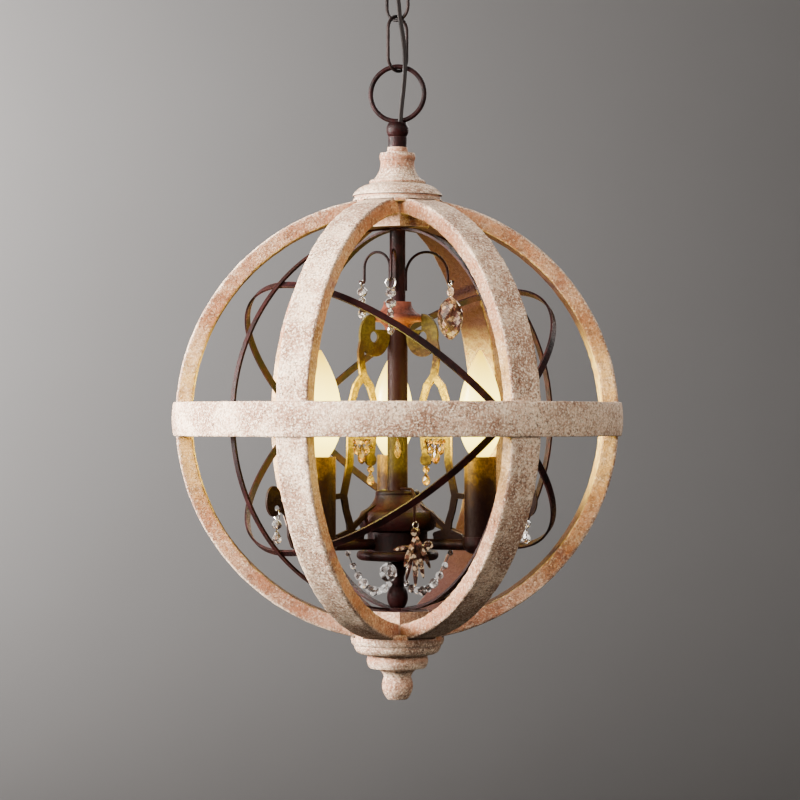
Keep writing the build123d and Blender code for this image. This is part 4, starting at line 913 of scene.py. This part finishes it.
# ---------------------------------------------------------------- glass drops
# Each profile is rings of (share of the length from the head down, share of the radius).
BEAD = ((0, 0.30), (0.14, 0.70), (0.36, 0.97), (0.64, 0.97), (0.86, 0.70), (1, 0.30))
ALMOND = (
    (0, 0.12), (0.12, 0.36), (0.30, 0.62), (0.50, 0.88), (0.68, 1.0), (0.84, 0.82), (0.95, 0.46), (1, 0.18),
)
PRISM = ((0, 0.3), (0.12, 0.85), (0.45, 0.92), (0.82, 1.0), (1, 0.15))
OVAL = (
    (0, 0.15), (0.08, 0.48), (0.20, 0.80), (0.38, 0.97), (0.56, 1.0), (0.72, 0.88), (0.86, 0.64), (1, 0.16),
)
EYE_WIRE = 0.6
THIN_WIRE = 0.5
EYE_RADIUS = 2.6
GLASS_GAP = 0.4          # between the pieces of a string


def hanging_place(node, joint):
    """Reach, azimuth and height of a hanging piece's eye: at its joint, and at the top of its node."""
    spot = next(row for row in frame["joints"] if row["name"] == joint)["pos_m"]
    top = (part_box(node)[1][2] - ORB_CENTRE[2]) / MM - EYE_WIRE
    return math.hypot(spot[0], spot[1]) / MM, math.degrees(math.atan2(spot[1], spot[0])), top


def glass_string(eye, pieces):
    """Glass pieces under an eye whose top lies at the origin: the glass shapes, and the wire ones."""
    glass, foot = [], -2 * eye
    for profile, length, radius, flatness in pieces:
        glass.append(cut_glass(profile, foot - GLASS_GAP, length, radius, flatness))
        foot -= length + GLASS_GAP
    core = wire((0, 0, -2 * eye + 0.1), (0, 0, foot + 0.4 * pieces[-1][1]), THIN_WIRE)
    return glass, [wire_ring((0, 0, -eye), eye, EYE_WIRE, azimuth=90), core]


def hang(node, joint, glass, wires, crystal=None):
    """Glass and wire pieces in place of a hanging node, moved from the origin to its eye."""
    reach, azimuth, top = hanging_place(node, joint)
    for kind, shapes, slot, material, angle in (
        ("glass", glass, "crystal", crystal or CRYSTAL, 0), ("wire", wires, "plated_steel", SILVER, 50),
    ):
        strung = [moved(shape, (reach, 0, top), azimuth) for shape in shapes]
        build(f"{node}_{kind}", strung, f"{node}_body", material, [node], smooth_angle=angle)


def make_hanging_drops():
    """Strings of glass under an eye: each piece is (profile, length, radius, flatness)."""
    strings = {
        "front": (4.4, ((BEAD, 8, 4.8, 1), (BEAD, 9, 5, 1), (PRISM, 9, 3.2, 1), (ALMOND, 14, 5.2, 0.6))),
        "right": (EYE_RADIUS, ((BEAD, 8.5, 3.4, 1), (OVAL, 38, 12.6, 0.45))),
        "left": (EYE_RADIUS, ((BEAD, 8.5, 4.8, 1), (BEAD, 6, 3.4, 1), (ALMOND, 14, 4.6, 0.6))),
    }
    for side, (eye, pieces) in strings.items():
        crystal = ROSE_CRYSTAL if side == "right" else CRYSTAL
        hang(f"hook_drop_{side}", f"hook_drop_{side}_swing", *glass_string(eye, pieces), crystal)
    for number in range(1, LAMP_COUNT + 1):
        pieces = ((BEAD, 8, 4.6, 1), (ALMOND, 12.6, 4.6, 0.5))
        hang(f"outer_drop_{number}", f"outer_drop_{number}_swing", *glass_string(4.2, pieces))


SPRAY_FINGERS = (     # lean, swing, length, radius
    (0, 0, 46, 3.2), (0, 11, 40, 3.0), (0, -12, 42, 3.0), (7, 22, 33, 2.8), (7, -23, 31, 2.8),
    (9, 7, 31, 2.6),
)
FAN_DROP, SIDE_DROP = 4.5, 15     # of the fan's top and of the side pieces, below the eye
SIDE_REACH = 12                   # of the bead on the right
LEAF_SWING = -80


def make_spray():
    """A bead, long drops that fan out under it, a leaf across their left side and a bead on their right."""
    root = -2 * EYE_RADIUS
    glass = [cut_glass(BEAD, root + 0.8, 8.0, 4.4)]
    wires = [wire_ring((0, 0, -EYE_RADIUS), EYE_RADIUS, EYE_WIRE, azimuth=90)]
    for lean, swing, length, radius in SPRAY_FINGERS:
        finger = tilted(cut_glass(ALMOND, 0, length, radius, 0.8, sides=6), swing, -lean)
        glass.append(moved(finger, (0, 0, root - FAN_DROP)))
    side = root - SIDE_DROP
    leaf = tilted(cut_glass(ALMOND, 0, 20, 4.6, 0.5, sides=6), LEAF_SWING, 0)
    glass.append(moved(leaf, (0, -1, side)))
    glass.append(moved(cut_glass(BEAD, side + 3.8, 7.6, 4.4), (0, SIDE_REACH, 0)))
    wires.append(wire((0, 0, side), (0, SIDE_REACH, side)))
    hang("drop_spray", "drop_spray_swing", glass, wires, ROSE_CRYSTAL)


CROSSBAR_FOOT = -17.7
TAB_FOOT = -41.4
ARM_FOOT = -115.3
FRINGE = (            # reach, length and radius of the drops wired along each bracket's crossbar
    (28.5, 9, 3.0), (32.5, 13, 3.4), (37.7, 22, 4.2), (42.5, 14, 3.4), (46.5, 9, 3.0),
)
GARLAND_BEADS = (2.6, 3.0, 3.6, 4.4, 3.4, 4.2, 3.2, 3.6, 2.8)
GARLAND_START = (52.0, ARM_FOOT - 2.6)
GARLAND_END = (8.9, -146.0)
GARLAND_SAG = 17.5
TAB_REACH = 28.4
FRINGE_BEAD = 5.0
FRINGE_GAP = 0.6         # by which a fringe drop's head enters its bead
TAB_BEAD = 6.0
CRYSTAL_AZIMUTH = -115.0
CRYSTAL_REACH = 22.0
CRYSTAL_HEAD = -125.4
CRYSTAL_LENGTH, CRYSTAL_RADIUS, CRYSTAL_FLATNESS = 16.4, 8.4, 0.5
COLUMN_RADIUS = 9.0
PEAR_AZIMUTH = -93.0   # the pear drop wired to the front of the column
PEAR_HEAD = -17.5
PEAR_LENGTH = 17.0
PEAR_RADIUS = 4.2


def garland():
    """Beads from an arm to the spindle's neck, on a string that sags as a parabola."""
    share = np.linspace(0, 1, len(GARLAND_BEADS))
    reach = GARLAND_START[0] + share * (GARLAND_END[0] - GARLAND_START[0])
    height = GARLAND_START[1] + share * (GARLAND_END[1] - GARLAND_START[1])
    height -= 4 * GARLAND_SAG * share * (1 - share)
    spots = np.stack([reach, 0 * reach, height], axis=-1)
    beads = [
        moved(cut_glass(BEAD, spot[2] + radius, 2 * radius, radius), (spot[0], 0, 0))
        for spot, radius in zip(spots, GARLAND_BEADS)
    ]
    return beads, sweep(spots, circle(THIN_WIRE, 8), first_side=(0, 1, 0))


def make_small_drops():
    """The fixed glass: the brackets' golden fringe, the garlands, the round crystal and the pear drop."""
    glass, golden, wires = [], [], []
    for lamp in range(LAMP_COUNT):
        azimuth = LAMP_AZIMUTH + lamp * 360 / LAMP_COUNT
        for reach, length, radius in FRINGE:
            bead = cut_glass(BEAD, CROSSBAR_FOOT, FRINGE_BEAD, 0.8 * radius)
            neck = FRINGE_BEAD - FRINGE_GAP
            drop = cut_glass(ALMOND, CROSSBAR_FOOT - neck, length - neck, radius, 0.8)
            golden += [moved(shape, (reach, 0, 0), azimuth) for shape in (bead, drop)]
        tab_bead = cut_glass(BEAD, TAB_FOOT, TAB_BEAD, 3.2)
        tab_drop = cut_glass(ALMOND, TAB_FOOT - (TAB_BEAD - FRINGE_GAP), 12.0, 3.6)
        golden += [moved(shape, (TAB_REACH, 0, 0), azimuth) for shape in (tab_bead, tab_drop)]
        beads, string = garland()
        glass += [moved(bead, azimuth=azimuth) for bead in beads]
        wires.append(moved(string, azimuth=azimuth))
    stem = wire((CRYSTAL_REACH, 0, CRYSTAL_HEAD), (CRYSTAL_REACH, 0, CRYSTAL_HEAD - 3))
    wires.append(moved(stem, azimuth=CRYSTAL_AZIMUTH))
    disc = cut_glass(BEAD, CRYSTAL_HEAD - 1.5, CRYSTAL_LENGTH, CRYSTAL_RADIUS, CRYSTAL_FLATNESS)
    glass.append(moved(moved(disc, azimuth=90), (CRYSTAL_REACH, 0, 0), CRYSTAL_AZIMUTH))
    pear_reach = COLUMN_RADIUS + PEAR_RADIUS
    pear_wire = wire((COLUMN_RADIUS - 0.3, 0, PEAR_HEAD), (pear_reach, 0, PEAR_HEAD))
    wires.append(moved(pear_wire, azimuth=PEAR_AZIMUTH))
    pear = cut_glass(ALMOND, PEAR_HEAD, PEAR_LENGTH, PEAR_RADIUS, 0.8)
    golden.append(moved(pear, (pear_reach, 0, 0), PEAR_AZIMUTH))
    build("small_drops_glass", glass, "orb", CRYSTAL, ["small_drops"], smooth_angle=0)
    build("small_drops_golden", golden, "orb", GOLD_CRYSTAL, ["small_drops"], smooth_angle=0)
    build("small_drops_wire", wires, "orb", SILVER, ["small_drops"])


# ---------------------------------------------------------------- cord
CORD_WIDTH = 4.2
CORD_ROUTE = (        # given in millimetres round the orb's centre
    (0, 22, CEILING - 7), (0, 0, CEILING - 7), (0, 0, CEILING - 42.5), (-1, 7.4, 404), (-1.5, 7.9, 391),
    (-0.2, 2.6, 380), (1, -4.4, 367), (1.6, -8, 354), (4, -7.8, 342), (6.2, -7.2, 323), (6.1, -7, 305),
    (4.4, -6.2, 287), (2.7, -5.7, 272), (2.4, -5.4, 262.6), (0, 0, 254.6), (0, 0, 246),
)
UPPER_RUNS = 6       # of the route's runs, the last one shared with the middle stretch
MIDDLE_RUNS = 9
# Heights between which each stretch bends, from its top down
UPPER_BEND, MIDDLE_BEND, LOWER_BEND = (412, 386), (366, 342), (321, 297)
CORD_HALF_THICKNESS = 1.25
WAIST_DEPTH, WAIST_WIDTH = 0.32, 0.7


def smooth_line(points):
    """Points of the smooth curve that has these control points, in metres in the frame."""
    curve = bpy.data.curves.new("route", "CURVE")
    curve.dimensions = "3D"
    curve.resolution_u = 16
    spline = curve.splines.new("NURBS")
    spline.points.add(len(points) - 1)
    for spot, point in zip(spline.points, points):
        spot.co = (*(np.array(point) * MM + ORB_CENTRE), 1.0)
    spline.order_u = 3
    spline.use_endpoint_u = True
    holder = placed("route", curve)
    line = bpy.data.meshes.new_from_object(holder)
    spots = np.array([vertex.co for vertex in line.vertices])
    bpy.data.objects.remove(holder)
    bpy.data.meshes.remove(line)
    bpy.data.curves.remove(curve)
    return spots


def twin_section():
    """Two round wires side by side in one sheath: an ellipse drawn in at its waist."""
    t = np.linspace(0, 2 * math.pi, 24, endpoint=False)
    side = CORD_WIDTH / 2 * np.cos(t)
    waist = 1 - WAIST_DEPTH * np.exp(-((side / WAIST_WIDTH) ** 2))
    return np.stack([side, CORD_HALF_THICKNESS * waist * np.sin(t)], axis=-1)


def make_cord():
    """The flat cord in three stretches, split at the middle of a run, each across one joint."""
    route = [np.array(point, float) for point in CORD_ROUTE]
    first_split = (route[UPPER_RUNS - 1] + route[UPPER_RUNS]) / 2
    second_split = (route[MIDDLE_RUNS - 1] + route[MIDDLE_RUNS]) / 2
    middle = [first_split] + route[UPPER_RUNS:MIDDLE_RUNS] + [second_split]
    stretches = (
        ("upper", route[:UPPER_RUNS] + [first_split], "ceiling_fitting", "upper_link", UPPER_BEND),
        ("middle", middle, "upper_link", "lower_link", MIDDLE_BEND),
        ("lower", [second_split] + route[MIDDLE_RUNS:], "lower_link", "orb", LOWER_BEND),
    )
    for name, points, above, below, (start, end) in stretches:
        line = smooth_line(points)
        local = (line - ORB_CENTRE) / MM
        shape = sweep(local, twin_section(), first_side=(1, 0.35, 0))
        piece = build(f"twin_cord_{name}", [shape], None, SHEATH, [f"cord_{name}"], 60)
        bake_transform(piece)


make_camera()
make_stage()
make_lights()
make_orb()
make_lamps()
make_hanging_drops()
make_spray()
make_small_drops()
make_cord()
